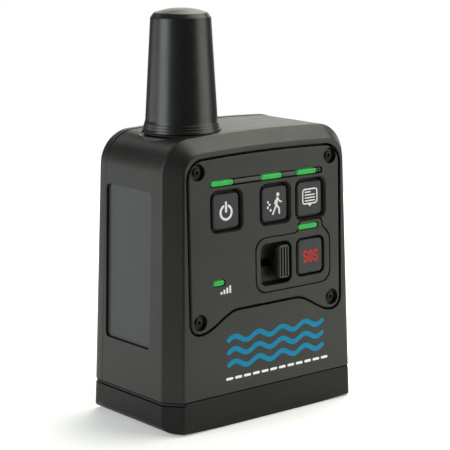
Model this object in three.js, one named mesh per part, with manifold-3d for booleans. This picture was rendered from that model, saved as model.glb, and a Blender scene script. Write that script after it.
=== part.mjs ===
// Handheld emergency position beacon: a keypad body with a stub satellite antenna.
// Millimetres. X is the width, -Y the keypad side, +Y the back and +Z up.
// The origin lies on the resting plane under the middle of the body.
import * as THREE from 'three';
import { mergeVertices } from 'three/addons/utils/BufferGeometryUtils.js';
import Module from 'manifold-3d';

const wasm = await Module();
wasm.setup();

// ---- Driving dimensions -------------------------------------------------------------
const CLEAR = 0.3; // gap left between pieces that touch
const FAR = 200; // reach of a half-space cutter

// Body: wider at the foot, lean inward on every side.
const FOOT_HALF_WIDTH = 42.1;
const SIDE_TAPER = 0.0278; // width lost on each side per mm of height
const HALF_DEPTH = 23;
const DEPTH_TAPER = 0.00115; // share of the depth lost per mm of height
const BODY_TOP = 98.4;
const TOP_RADIUS = 11.5;
const FOOT_RADIUS = 3.2;
const DROP = { depth: 12, radius: 10.5 }; // the bevelled forms run on below the foot, clear of it
const TOP_SAG = 0.7; // the top edge is crowned by this much
const FOOT_RISE = 0.6; // the foot lifts this much outside its flat middle
const FOOT_FLAT = 18; // half length of the flat middle of the foot
const WALL = 2.4;
const CHAMFER_ACROSS = 4.8; // front chamfer, across the width
const CHAMFER_DEEP = 6; // front chamfer, along the depth
const BACK_ROUND = 3.5;
const FRONT_WALL = 6.5;

// Seams: base cap, gasket band and housing, from the foot up; back cover behind.
const CAP_TOP = 9.95;
const BAND = [10.25, 11];
const HOUSING_FOOT = 11.3;
const TONGUE = { halfWidth: 36, back: -18.5 }; // the cap's front reaches up past the gasket here
const FLOOR_TOP = 13.5;
const BACK_SPLIT = 17.3;
const BACK_PROUD = 0.4; // the back cover stands above the housing's top

// Keypad bezel, in the tilted frame of the front face (y runs inward).
const BEZEL_SIDE = 33.8;
const BEZEL_TOP = 92.2;
const BEZEL_TOP_DROP = 0.6;
const BEZEL_CORNER = 7;
const BEZEL_THICK = 2.3;
const LOBE = { x: 29.3, z: 37.3, radius: 4.6 };
const BEZEL_WAIST = { x: 12.6, z: 39.05 };
const LEDGE = 3.7; // depth of the ledge that the bezel's gasket sits on
const WINDOW = { width: 60, low: 42, high: 84.3 };
const SCREWS = [
  ['upper_left', -29, 87.2],
  ['upper_right', 29, 87.2],
  ['lower_left', -LOBE.x, LOBE.z],
  ['lower_right', LOBE.x, LOBE.z],
];

// Keys: name, centre x, centre z, how far the top is sunk below the face.
const KEY = { width: 11.4, height: 12, radius: 1.7, back: 2.6 };
const KEY_GAP = 0.6;
const KEYS = [
  ['power', -17.2, 73.2, 0.6],
  ['track', 4, 73.2, 0.6],
  ['message', 19.9, 73.2, 0.6],
  ['sos', 19.5, 53.2, 0.1],
];
const FLANGE = { grow: 0.75, thick: 0.6 };

// Indicator lenses: name, centre x, centre z, length.
const LENS_HEIGHT = 1.75;
const LENSES = [
  ['power', -18.7, 82.7, 9.4],
  ['track', 2.7, 82.7, 9.2],
  ['message', 18.4, 82.7, 9],
  ['sos', 18.8, 63.7, 8.6],
  ['signal', -20.9, 49.4, 4.6],
];
const CHANNEL = { left: -24.3, right: 25.5, z: 82.7, height: 2.4 };

// SOS insert and its lock slider.
const INSERT = { left: -4.9, right: 28.5, low: 43.4, high: 61.9, bumpLeft: 14.4, bumpRight: 24.9, bumpHigh: 65.7 };
const WELL = { x: 4, z: 52.7, width: 13.6, height: 14.4, radius: 2.6, depth: 4.6, wall: 1 };
const KNOB = { x: 6.7, z: 52.9, width: 6.1, height: 11.6, proud: 0.3, ribs: 4 };
const SLIDER_TRAVEL = 4.6;

// Behind the keypad.
const SHEET = [4.1, 4.7];
const BOARD = [8, 9.6];
const BOARD_OUTLINE = { width: 66, low: 19, high: 91 };

// Antenna.
const ANTENNA = { x: -19.6, y: 0, foot: 98.3, neck: 9, bore: 7.6 };
const SEAL = [97.4, 98];
const SEAT_FLOOR = 97.1;

// Battery bay and base lock.
const CELL = { radius: 7.25, low: 11, high: 61.5, gap: 0.6 };
const BAY = { x: -12, y: 8.5 };
const LOCK = { x: 24, y: 1, recess: 9.6, roof: 5 };

// Side pads, in the frame of each side face.
const PAD = { centre: 2.7, width: 25, low: 27.6, high: 80.4, depth: 1.3, thick: 0.3 };

// Back cover screws: name, x, z.
const BACK_SCREWS = [
  ['upper_left', -35.4, 84],
  ['upper_right', 35.4, 84],
  ['lower_left', -35.4, 21],
  ['lower_right', 35.4, 21],
];

// ---- Materials -----------------------------------------------------------------------
function finish(color, roughness, metalness = 0) {
  return new THREE.MeshStandardMaterial({ color, roughness, metalness });
}
const SHELL = finish(0x3b3d3a, 0.55);
const BEZEL = finish(0x3f413e, 0.5);
const RUBBER = finish(0x1b1c1c, 0.85);
const KEYTOP = finish(0x474b4e, 0.6);
const RADOME = finish(0x2e302f, 0.5);
const LENS = finish(0x18c04a, 0.25);
const LABEL = finish(0x4a4d4c, 0.45);
const STEEL = finish(0x2a2a2b, 0.4, 0.9);
const BRIGHT_STEEL = finish(0x9a9da0, 0.35, 0.9);
const BRASS = finish(0xb08d4a, 0.35, 0.9);
const COPPER = finish(0xb5703c, 0.35, 0.9);
const BOARD_GREEN = finish(0x1f5a35, 0.6);
const CERAMIC = finish(0xcfc6b4, 0.6);
const INNER = finish(0x23262a, 0.7);
const CELL_WRAP = finish(0x3c4a6e, 0.4);

// ---- Solids --------------------------------------------------------------------------
function signedVolume(position, index) {
  const [a, b, c] = [new THREE.Vector3(), new THREE.Vector3(), new THREE.Vector3()];
  let volume = 0;
  for (let i = 0; i < index.length; i += 3) {
    a.fromArray(position, 3 * index[i]);
    b.fromArray(position, 3 * index[i + 1]);
    c.fromArray(position, 3 * index[i + 2]);
    volume += a.dot(b.cross(c));
  }
  return volume / 6;
}

// A closed three.js geometry becomes a solid, with its faces turned outward.
function solid(geometry, matrix = new THREE.Matrix4()) {
  const bare = (geometry.index ? geometry.toNonIndexed() : geometry.clone()).applyMatrix4(matrix);
  bare.deleteAttribute('normal');
  bare.deleteAttribute('uv');
  const merged = mergeVertices(bare, 1e-4);
  const corners = merged.index.array;
  const position = merged.attributes.position.array;
  const index = [];
  for (let i = 0; i < corners.length; i += 3) {
    const [p, q, r] = [corners[i], corners[i + 1], corners[i + 2]];
    if (p !== q && q !== r && r !== p) index.push(p, q, r);
  }
  if (signedVolume(position, index) < 0) index.reverse();
  const vertProperties = new Float32Array(position);
  const triVerts = new Uint32Array(index);
  return new wasm.Manifold(new wasm.Mesh({ numProp: 3, vertProperties, triVerts }));
}

const cut = (body, ...tools) => tools.reduce((left, tool) => left.subtract(tool), body);
const join = (body, ...more) => more.reduce((whole, piece) => whole.add(piece), body);

function piece(name, body, material) {
  const { vertProperties, triVerts } = body.getMesh();
  const geometry = new THREE.BufferGeometry();
  geometry.setAttribute('position', new THREE.BufferAttribute(vertProperties, 3));
  geometry.setIndex(new THREE.BufferAttribute(triVerts, 1));
  geometry.computeVertexNormals();
  const mesh = new THREE.Mesh(geometry, material);
  mesh.name = name;
  return mesh;
}

// ---- Plain shapes --------------------------------------------------------------------
// Share of the way to the corner where a curve's handle sits, for a near-circular corner.
const CORNER = 0.5523;

function roundCorner(shape, [x0, z0], [cx, cz], [x1, z1]) {
  const mix = (a, b) => a + (b - a) * CORNER;
  shape.bezierCurveTo(mix(x0, cx), mix(z0, cz), mix(x1, cx), mix(z1, cz), x1, z1);
}

function roundedRect(x, z, width, height, radius) {
  const [l, r, b, t] = [x - width / 2, x + width / 2, z - height / 2, z + height / 2];
  const shape = new THREE.Shape();
  shape.moveTo(l + radius, b);
  shape.lineTo(r - radius, b);
  shape.absarc(r - radius, b + radius, radius, -Math.PI / 2, 0, false);
  shape.absarc(r - radius, t - radius, radius, 0, Math.PI / 2, false);
  shape.absarc(l + radius, t - radius, radius, Math.PI / 2, Math.PI, false);
  shape.absarc(l + radius, b + radius, radius, Math.PI, 1.5 * Math.PI, false);
  return shape;
}

// A shape drawn in X and Z, thickened from yBack out to yFront.
function plate(shape, yBack, yFront, curveSegments = 5) {
  const geometry = new THREE.ExtrudeGeometry(shape, { depth: yBack - yFront, bevelEnabled: false, curveSegments });
  return geometry.rotateX(Math.PI / 2).translate(0, yBack, 0);
}

// The same, with both rims bevelled: across the face by `size`, along the depth by `thickness`.
function bevelledPlate(shape, yBack, yFront, size, thickness, bevelSegments, curveSegments = 5) {
  const options = {
    depth: yBack - yFront - 2 * thickness,
    bevelThickness: thickness,
    bevelSize: size,
    bevelOffset: -size,
    bevelSegments,
    curveSegments,
  };
  return new THREE.ExtrudeGeometry(shape, options).rotateX(Math.PI / 2).translate(0, yBack - thickness, 0);
}

function box([x0, x1], [y0, y1], [z0, z1]) {
  const geometry = new THREE.BoxGeometry(x1 - x0, y1 - y0, z1 - z0);
  return geometry.translate((x0 + x1) / 2, (y0 + y1) / 2, (z0 + z1) / 2);
}

function uprightDisc(x, y, radius, [z0, z1], segments = 20) {
  const geometry = new THREE.CylinderGeometry(radius, radius, z1 - z0, segments);
  return geometry.rotateX(Math.PI / 2).translate(x, y, (z0 + z1) / 2);
}

function levelPin(x, z, radius, [y0, y1], segments = 14) {
  return new THREE.CylinderGeometry(radius, radius, y1 - y0, segments).translate(x, (y0 + y1) / 2, z);
}

function lathe(profile, segments) {
  const points = profile.map(([radius, height]) => new THREE.Vector2(radius, height));
  return new THREE.LatheGeometry(points, segments).rotateX(Math.PI / 2);
}

const above = (z) => solid(box([-FAR, FAR], [-FAR, FAR], [z, FAR]));
const below = (z) => solid(box([-FAR, FAR], [-FAR, FAR], [-FAR, z]));
const frontOf = (y) => solid(box([-FAR, FAR], [-FAR, y], [-FAR, FAR]));
const backOf = (y) => solid(box([-FAR, FAR], [y, FAR], [-FAR, FAR]));

// ---- Frames of the leaning faces -------------------------------------------------------
const FRONT_TILT = -Math.atan(HALF_DEPTH * DEPTH_TAPER);
const SIDE_TILT = Math.atan(SIDE_TAPER);

function frontGroup() {
  const group = new THREE.Group();
  group.position.set(0, -HALF_DEPTH, 0);
  group.rotation.x = FRONT_TILT;
  group.updateMatrix();
  return group;
}

// Side frames: y runs into the body, local x along the side. side is -1 or 1.
function sideGroup(side) {
  const lean = new THREE.Group();
  lean.position.set(side * FOOT_HALF_WIDTH, 0, 0);
  lean.rotation.set(0, -side * SIDE_TILT, side * Math.PI / 2, 'YZX');
  lean.updateMatrix();
  return lean;
}
const FRONT = frontGroup();
const SIDES = { left: sideGroup(-1), right: sideGroup(1) };
const SIDE_SIGN = { left: -1, right: 1 };

// ---- Body shells -----------------------------------------------------------------------
function bodyOutline(inset, drop = 0, footRadius = FOOT_RADIUS) {
  const side = (z) => FOOT_HALF_WIDTH - SIDE_TAPER * z - inset;
  const [footRound, topRound] = [footRadius - inset, TOP_RADIUS - inset];
  const [foot, top] = [inset - drop, BODY_TOP - inset];
  const [footEdge, topEdge] = [foot + FOOT_RISE, top - TOP_SAG];
  const [footSide, topSide] = [footEdge + footRound, topEdge - topRound];
  const shape = new THREE.Shape();
  shape.moveTo(-FOOT_FLAT, foot);
  shape.lineTo(FOOT_FLAT, foot);
  const footEnd = side(0) - footRound;
  shape.quadraticCurveTo((FOOT_FLAT + footEnd) / 2, foot, footEnd, footEdge);
  roundCorner(shape, [footEnd, footEdge], [side(0), footEdge + 0.3], [side(footSide), footSide]);
  shape.lineTo(side(topSide), topSide);
  const topEnd = side(top) - topRound;
  roundCorner(shape, [side(topSide), topSide], [side(top), topEdge + 0.2], [topEnd, topEdge]);
  shape.quadraticCurveTo(0, top + TOP_SAG, -topEnd, topEdge);
  roundCorner(shape, [-topEnd, topEdge], [-side(top), topEdge + 0.2], [-side(topSide), topSide]);
  shape.lineTo(-side(footSide), footSide);
  roundCorner(shape, [-side(footSide), footSide], [-side(0), footEdge + 0.3], [-footEnd, footEdge]);
  shape.quadraticCurveTo(-(FOOT_FLAT + footEnd) / 2, foot, -FOOT_FLAT, foot);
  return shape;
}

// Draws the front and back faces together towards the top.
function lean(geometry) {
  const position = geometry.attributes.position;
  for (let i = 0; i < position.count; i += 1) {
    position.setY(i, position.getY(i) * (1 - DEPTH_TAPER * position.getZ(i)));
  }
  return geometry;
}

const OVERRUN = 10; // how far a half body runs past the plane where it is cut off

function frontHalf(inset = 0) {
  const shape = bodyOutline(inset, DROP.depth, DROP.radius);
  const front = inset - HALF_DEPTH;
  return solid(lean(bevelledPlate(shape, HALF_DEPTH + OVERRUN, front, CHAMFER_ACROSS, CHAMFER_DEEP, 1)));
}

function backHalf(inset = 0) {
  const shape = bodyOutline(inset, DROP.depth, DROP.radius);
  const back = HALF_DEPTH - inset;
  return solid(lean(bevelledPlate(shape, back, -HALF_DEPTH - OVERRUN, BACK_ROUND, BACK_ROUND, 3)));
}

// The whole outer form, chamfered in front, rounded behind and standing on its foot.
function wholeBody(inset = 0) {
  const foot = solid(lean(plate(bodyOutline(inset), HALF_DEPTH + OVERRUN, -HALF_DEPTH - OVERRUN)));
  return frontHalf(inset).intersect(backHalf(inset)).intersect(foot);
}

function hollow(yBack, yFront, zLow) {
  return solid(lean(plate(bodyOutline(WALL), yBack, yFront))).intersect(above(zLow));
}

const onFront = (geometry) => solid(geometry, FRONT.matrix);
const backFaceY = (z) => HALF_DEPTH * (1 - DEPTH_TAPER * z);

function mainHousing() {
  const outer = frontHalf().intersect(frontOf(BACK_SPLIT)).intersect(above(HOUSING_FOOT));
  const inner = hollow(BACK_SPLIT + OVERRUN, FRONT_WALL - HALF_DEPTH, FLOOR_TOP);
  const posts = BACK_SCREWS.map(([, x, z]) => solid(levelPin(x, z, 4.4, [8, BACK_SPLIT - CLEAR])));
  const lockBoss = solid(uprightDisc(LOCK.x, LOCK.y, 6.6, [HOUSING_FOOT, 20]));
  const roofBoss = solid(uprightDisc(ANTENNA.x, ANTENNA.y, 14.6, [94.3, SEAT_FLOOR]));
  const shell = join(cut(outer, inner), ...posts, lockBoss, roofBoss);
  const window = roundedRect(0, (WINDOW.low + WINDOW.high) / 2, WINDOW.width, WINDOW.high - WINDOW.low, 3);
  const keypadCuts = [
    onFront(plate(bezelOutline(0), LEDGE, -OVERRUN)),
    onFront(plate(window, FRONT_WALL + 1.5, 0)),
    ...SCREWS.map(([, x, z]) => onFront(levelPin(x, z, 1.45, [0, FRONT_WALL + 1.5], 10))),
  ];
  const antennaCuts = [
    solid(uprightDisc(ANTENNA.x, ANTENNA.y, 13.8, [SEAT_FLOOR, BODY_TOP + 1], 32)),
    solid(uprightDisc(ANTENNA.x, ANTENNA.y, ANTENNA.neck + CLEAR, [90, BODY_TOP + 1], 24)),
  ];
  const bayCuts = [
    solid(trayBox(CLEAR, [HOUSING_FOOT - 1, FLOOR_TOP + 1])),
    solid(uprightDisc(LOCK.x, LOCK.y, 5.3, [HOUSING_FOOT - 1, 21])),
  ];
  const backScrewCuts = BACK_SCREWS.map(([, x, z]) => solid(levelPin(x, z, 1.45, [9.5, BACK_SPLIT + 1], 10)));
  return cut(shell, ...keypadCuts, ...antennaCuts, ...bayCuts, ...backScrewCuts, ...sideRecesses());
}

const COVER_SCREW_DEPTH = 1.9;

function backCover() {
  const raise = new THREE.Matrix4().makeScale(1, 1, (BODY_TOP + BACK_PROUD) / BODY_TOP);
  const shape = bodyOutline(0, DROP.depth, DROP.radius);
  const form = bevelledPlate(shape, HALF_DEPTH, -HALF_DEPTH - OVERRUN, BACK_ROUND, BACK_ROUND, 3);
  const outer = solid(lean(form.applyMatrix4(raise))).intersect(backOf(BACK_SPLIT + CLEAR / 2));
  const inner = hollow(HALF_DEPTH - WALL, 0, FLOOR_TOP);
  const posts = BACK_SCREWS.map(([, x, z]) => solid(levelPin(x, z, 4.2, [BACK_SPLIT + CLEAR / 2, backFaceY(z) - 1])));
  const holes = BACK_SCREWS.flatMap(([, x, z]) => [
    solid(levelPin(x, z, 1.5, [0, HALF_DEPTH + 1], 10)),
    solid(levelPin(x, z, 2.7, [backFaceY(z) - COVER_SCREW_DEPTH, HALF_DEPTH + 1])),
  ]);
  const labelBed = solid(lean(plate(roundedRect(0, 52, 52, 56, 4), HALF_DEPTH + 5, HALF_DEPTH - 0.6)));
  return cut(join(cut(outer.intersect(above(HOUSING_FOOT)), inner), ...posts), ...holes, labelBed);
}

function tongueBox(grow) {
  const halfWidth = TONGUE.halfWidth + grow;
  return solid(box([-halfWidth, halfWidth], [-HALF_DEPTH - 1, TONGUE.back + grow], [CAP_TOP - 1, BAND[1]]));
}

function baseCap() {
  const form = wholeBody();
  const outer = join(form.intersect(below(CAP_TOP)), form.intersect(tongueBox(0)));
  const inside = roundedRect(0, 20, 2 * (FOOT_HALF_WIDTH - 3.2), 2 * (20 - 6.8), 4);
  const pocket = solid(plate(inside, HALF_DEPTH - 3.2, CHAMFER_DEEP - HALF_DEPTH));
  return cut(
    outer,
    pocket,
    solid(uprightDisc(LOCK.x, LOCK.y, LOCK.recess, [-1, LOCK.roof], 32)),
    solid(uprightDisc(LOCK.x, LOCK.y, 3.3, [0, CAP_TOP + 1])),
  );
}

function baseGasket() {
  const form = wholeBody(0.4).intersect(below(BAND[1])).intersect(above(BAND[0]));
  const inside = box([-36, 36], [CHAMFER_DEEP - HALF_DEPTH + 1, HALF_DEPTH - 5], [0, 20]);
  return cut(form, solid(inside), tongueBox(CLEAR));
}

// ---- Side pads -------------------------------------------------------------------------
function padPlate(side, grow, yBack, yFront) {
  const height = PAD.high - PAD.low;
  const shape = roundedRect(SIDE_SIGN[side] * PAD.centre, PAD.low + height / 2, PAD.width + grow, height + grow, 1.6);
  return plate(shape, yBack, yFront, 3);
}

const sideRecesses = () => Object.keys(SIDES).map((side) => solid(padPlate(side, 0, PAD.depth, -5), SIDES[side].matrix));
const sidePad = (side) => solid(padPlate(side, -2 * CLEAR, PAD.depth - 0.15, PAD.depth - 0.15 - PAD.thick));

// ---- Keypad front ----------------------------------------------------------------------
function bezelOutline(inset) {
  const side = BEZEL_SIDE - inset;
  const top = BEZEL_TOP - inset;
  const cornerZ = top - BEZEL_TOP_DROP;
  const corner = BEZEL_CORNER - inset;
  const low = LOBE.z - LOBE.radius + inset;
  const waist = BEZEL_WAIST.z + inset;
  const handle = (LOBE.x - BEZEL_WAIST.x) * 0.36;
  const shape = new THREE.Shape();
  shape.moveTo(-side + corner, cornerZ);
  roundCorner(shape, [-side + corner, cornerZ], [-side, cornerZ], [-side, cornerZ - corner]);
  shape.lineTo(-side, LOBE.z);
  roundCorner(shape, [-side, LOBE.z], [-side, low], [-LOBE.x, low]);
  shape.bezierCurveTo(-LOBE.x + handle, low, -BEZEL_WAIST.x - handle, waist, -BEZEL_WAIST.x, waist);
  shape.lineTo(BEZEL_WAIST.x, waist);
  shape.bezierCurveTo(BEZEL_WAIST.x + handle, waist, LOBE.x - handle, low, LOBE.x, low);
  roundCorner(shape, [LOBE.x, low], [side, low], [side, LOBE.z]);
  shape.lineTo(side, cornerZ - corner);
  roundCorner(shape, [side, cornerZ - corner], [side, cornerZ], [side - corner, cornerZ]);
  shape.quadraticCurveTo(0, top + BEZEL_TOP_DROP, -side + corner, cornerZ);
  return shape;
}

function insertOutline(grow) {
  const [l, r, b, t] = [INSERT.left - grow, INSERT.right + grow, INSERT.low - grow, INSERT.high + grow];
  const [bl, br, bt] = [INSERT.bumpLeft - grow, INSERT.bumpRight + grow, INSERT.bumpHigh + grow];
  const [round, small] = [4.4, 1.3];
  const shape = new THREE.Shape();
  shape.moveTo(l + round, b);
  shape.lineTo(r - round, b);
  roundCorner(shape, [r - round, b], [r, b], [r, b + round]);
  shape.lineTo(r, t - round);
  shape.quadraticCurveTo(r, t - 0.4 * round, br + 0.7, t + 0.5);
  shape.quadraticCurveTo(br, t + 1, br, t + 2 * small);
  roundCorner(shape, [br, bt - small], [br, bt], [br - small, bt]);
  shape.lineTo(bl + small, bt);
  roundCorner(shape, [bl + small, bt], [bl, bt], [bl, bt - small]);
  shape.quadraticCurveTo(bl, t, bl - 2 * small, t);
  shape.lineTo(l + round, t);
  roundCorner(shape, [l + round, t], [l, t], [l, t - round]);
  shape.lineTo(l, b + round);
  roundCorner(shape, [l, b + round], [l, b], [l + round, b]);
  return shape;
}

const keyShape = ([, x, z], grow) => roundedRect(x, z, KEY.width + grow, KEY.height + grow, KEY.radius + grow / 2);
const keyHole = (key, depth = [BEZEL_THICK + 1, -1]) => solid(plate(keyShape(key, 2 * KEY_GAP), ...depth, 3));
const lensShape = ([, x, z, length], grow) =>
  roundedRect(x, z, length + grow, LENS_HEIGHT + grow, (LENS_HEIGHT + grow) / 2 - 0.02);
const lensHole = (lens) => solid(plate(lensShape(lens, 2 * CLEAR), BEZEL_THICK + 1, -1, 2));

function keypadBezel() {
  const panel = solid(bevelledPlate(bezelOutline(CLEAR + 0.1), BEZEL_THICK, 0, 0.25, 0.25, 1));
  const screwHoles = SCREWS.flatMap(([, x, z]) => [
    solid(levelPin(x, z, 1.45, [-1, BEZEL_THICK + 1], 10)),
    solid(levelPin(x, z, 2.85, [-1, 1.6], 18)),
  ]);
  const keyHoles = KEYS.slice(0, 3).map((key) => keyHole(key));
  const channel = roundedRect(
    (CHANNEL.left + CHANNEL.right) / 2, CHANNEL.z, CHANNEL.right - CHANNEL.left, CHANNEL.height, 1.15,
  );
  return cut(
    panel,
    ...screwHoles,
    ...keyHoles,
    solid(plate(channel, BEZEL_THICK + 1, -1, 4)),
    solid(plate(insertOutline(CLEAR), BEZEL_THICK + 1, -1)),
    lensHole(LENSES[4]),
  );
}

function bezelGasket() {
  const sheet = solid(plate(bezelOutline(0.9), LEDGE - CLEAR, BEZEL_THICK + CLEAR, 4));
  const height = WINDOW.high - WINDOW.low + 1;
  const window = roundedRect(0, (WINDOW.low + WINDOW.high) / 2, WINDOW.width + 1, height, 3);
  const holes = SCREWS.map(([, x, z]) => solid(levelPin(x, z, 1.5, [0, 5], 10)));
  return cut(sheet, solid(plate(window, 5, 0, 3)), ...holes);
}

// A socket-head screw along Y, its head facing -Y for `facing` = -1.
function screw(radius, headRadius, headHeight, length, facing) {
  const head = solid(levelPin(0, 0, headRadius, [0, headHeight], 16));
  const shank = solid(levelPin(0, 0, radius, [headHeight - 0.2, headHeight + length], 10));
  const socket = solid(levelPin(0, 0, headRadius * 0.45, [-1, headHeight * 0.6], 6));
  const turned = new THREE.Matrix4().makeRotationX(facing < 0 ? 0 : Math.PI);
  return { body: cut(join(head, shank), socket), turned };
}

function placedScrew(name, x, y, z, facing, length) {
  const { body, turned } = screw(1.15, 2.3, 1.2, length, facing);
  const mesh = piece(name, body, STEEL);
  mesh.applyMatrix4(turned);
  mesh.position.set(x, y, z);
  return mesh;
}

function sosInsert() {
  const face = solid(bevelledPlate(insertOutline(0), BEZEL_THICK, 0, 0.25, 0.25, 1));
  const cupShape = roundedRect(WELL.x, WELL.z, WELL.width + 2 * WELL.wall, WELL.height + 2 * WELL.wall, WELL.radius);
  const cup = solid(plate(cupShape, WELL.depth + WELL.wall, BEZEL_THICK - 0.5, 4));
  const well = solid(plate(roundedRect(WELL.x, WELL.z, WELL.width, WELL.height, WELL.radius), WELL.depth, -1, 4));
  const slot = roundedRect(WELL.x, WELL.z, 9.4, 3.2, 1.2);
  const through = solid(plate(slot, WELL.depth + 3, WELL.depth - 1, 3));
  return cut(join(face, cup), well, through, keyHole(KEYS[3]), lensHole(LENSES[3]));
}

function keyCap(key) {
  const top = solid(bevelledPlate(keyShape(key, 0), KEY.back + 1, key[3], 0.4, 0.4, 1, 4));
  const trimmed = top.intersect(frontOf(KEY.back + 0.2));
  const flange = solid(plate(keyShape(key, 2 * FLANGE.grow), KEY.back + FLANGE.thick, KEY.back, 3));
  return join(trimmed, flange);
}

function ledLens(lens) {
  const face = solid(plate(lensShape(lens, 0), BEZEL_THICK, -0.05, 2));
  const guide = solid(box([lens[1] - 1.5, lens[1] + 1.5], [BEZEL_THICK - 0.2, SHEET[0] - 0.4], [lens[2] - 0.8, lens[2] + 0.8]));
  return join(face, guide);
}

function ledBar() {
  const shape = roundedRect(
    (CHANNEL.left + CHANNEL.right) / 2, CHANNEL.z,
    CHANNEL.right - CHANNEL.left - 2 * CLEAR, CHANNEL.height - 2 * CLEAR, 0.85,
  );
  const bar = solid(plate(shape, BEZEL_THICK + 1.1, 0.5, 2));
  const middle = (CHANNEL.left + CHANNEL.right) / 2;
  const width = CHANNEL.right - CHANNEL.left + 1.7;
  const rim = solid(box([middle - width / 2, middle + width / 2], [BEZEL_THICK + CLEAR, BEZEL_THICK + 1.1], [CHANNEL.z - 1.6, CHANNEL.z + 1.6]));
  const clearLens = (lens) => solid(box([lens[1] - 1.8, lens[1] + 1.8], [1, 5], [lens[2] - 1.1, lens[2] + 1.1]));
  const row = LENSES.slice(0, 3);
  return cut(join(bar, rim), ...row.map(lensHole), ...row.map(clearLens));
}

function lockSlider() {
  const { x, z, width, height, proud, ribs } = KNOB;
  const foot = WELL.depth - CLEAR;
  const grip = solid(bevelledPlate(roundedRect(x, z, width, height, 1.1), foot, -proud, 0.4, 0.5, 1, 3));
  const pitch = (width - 1.2) / ribs;
  const grooves = [];
  for (let i = 0; i < ribs; i += 1) {
    const at = x - width / 2 + 0.6 + pitch * (i + 0.5);
    grooves.push(solid(box([at - 0.32, at + 0.32], [-proud - 1, 0.25], [z - height, z + height])));
  }
  const stem = solid(box([x - 1.5, x + 1.5], [foot - 0.2, WELL.depth + WELL.wall + 0.7], [WELL.z - 1.2, WELL.z + 1.2]));
  return join(cut(grip, ...grooves), stem);
}

// The rubber sheet behind the keys, with a nub for each dome and a hole for each light guide.
function keypadMembrane() {
  const height = WINDOW.high - WINDOW.low - 1;
  const shape = roundedRect(0, (WINDOW.low + WINDOW.high) / 2, WINDOW.width - 1, height, 3);
  const sheet = solid(plate(shape, SHEET[1], SHEET[0], 3));
  const nubs = KEYS.map(([, x, z]) => solid(levelPin(x, z, 1.6, [SHEET[1] - 0.1, BOARD[0] - 1.1], 12)));
  const cup = roundedRect(WELL.x, WELL.z, WELL.width + 2.8, WELL.height + 2.8, WELL.radius);
  const lights = LENSES.map(([, x, z]) => solid(box([x - 1.4, x + 1.4], [3, 6], [z - 0.7, z + 0.7])));
  return cut(join(sheet, ...nubs), solid(plate(cup, 6, 3, 3)), ...lights);
}

// ---- Electronics -----------------------------------------------------------------------
function mainBoard() {
  const { width, low, high } = BOARD_OUTLINE;
  const sheet = solid(plate(roundedRect(0, (low + high) / 2, width, high - low, 4), BOARD[1], BOARD[0], 3));
  const nutRoom = solid(box([ANTENNA.x - 14.5, ANTENNA.x + 14.5], [0, 20], [88.5, 100]));
  return cut(sheet, nutRoom);
}

const dome = ([, x, z]) => solid(levelPin(x, z, 2.6, [BOARD[0] - 0.7, BOARD[0] - CLEAR], 12));
const ledChip = ([, x, z]) => solid(box([x - 0.8, x + 0.8], [BOARD[0] - 1, BOARD[0] - CLEAR], [z - 0.45, z + 0.45]));
const slideSwitch = () => solid(box([WELL.x - 5, WELL.x + 5], [6.6, BOARD[0] - CLEAR], [WELL.z - 2.2, WELL.z + 2.2]));

function satelliteModem() {
  return solid(plate(roundedRect(11.5, 61, 41, 45, 1.5), 18.6, BOARD[1] + CLEAR, 2));
}

const gpsPatch = () => solid(box([5, 23], [-1, 16.5], [88.5, 92.5]));

// ---- Antenna ---------------------------------------------------------------------------
function antennaCover() {
  const { foot, neck, bore } = ANTENNA;
  const profile = [
    [neck, 91.4], [neck, foot], [13.25, foot], [13.1, 98.9], [12.6, 100.2], [12.13, 101.8],
    [10.15, 135.8], [9.85, 136.6], [9.1, 137.4], [6.4, 138.3], [3.3, 138.85], [0, 139],
    [0, 137.2], [6.2, 136.6], [8.2, 135.2], [10.1, 102.4], [9.6, 100.6], [bore, 99.6], [bore, 91.4], [neck, 91.4],
  ];
  return solid(lathe(profile, 32));
}

function ring(x, y, inner, outer, [z0, z1], segments = 20) {
  const hole = solid(uprightDisc(x, y, inner, [z0 - 1, z1 + 1]));
  return cut(solid(uprightDisc(x, y, outer, [z0, z1], segments)), hole);
}

const COIL = { inner: 6.15, outer: 6.75, low: 94.5, high: 131, turns: 0.75, strips: 4, steps: 16 };

// One copper strip wound on the former.
function coilStrip(start) {
  const { inner, outer, low, high, turns, steps } = COIL;
  const points = [];
  for (let i = 0; i <= steps; i += 1) {
    const angle = start + (turns * 2 * Math.PI * i) / steps;
    const radius = (inner + outer) / 2;
    points.push(new THREE.Vector3(radius * Math.cos(angle), radius * Math.sin(angle), low + ((high - low) * i) / steps));
  }
  const path = new THREE.CatmullRomCurve3(points);
  const section = new THREE.Shape();
  section.absarc(0, 0, (outer - inner) / 2 - 0.02, 0, 2 * Math.PI, false);
  return solid(new THREE.ExtrudeGeometry(section, { steps, extrudePath: path, bevelEnabled: false, curveSegments: 2 }));
}

function antennaHelix() {
  const { inner, outer, low, high, strips } = COIL;
  const ends = [ring(0, 0, inner, outer, [low - 0.5, low + 0.5]), ring(0, 0, inner, outer, [high - 0.5, high + 0.5])];
  const wound = [];
  for (let i = 0; i < strips; i += 1) wound.push(coilStrip((i * 2 * Math.PI) / strips));
  return join(...ends, ...wound);
}

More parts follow.
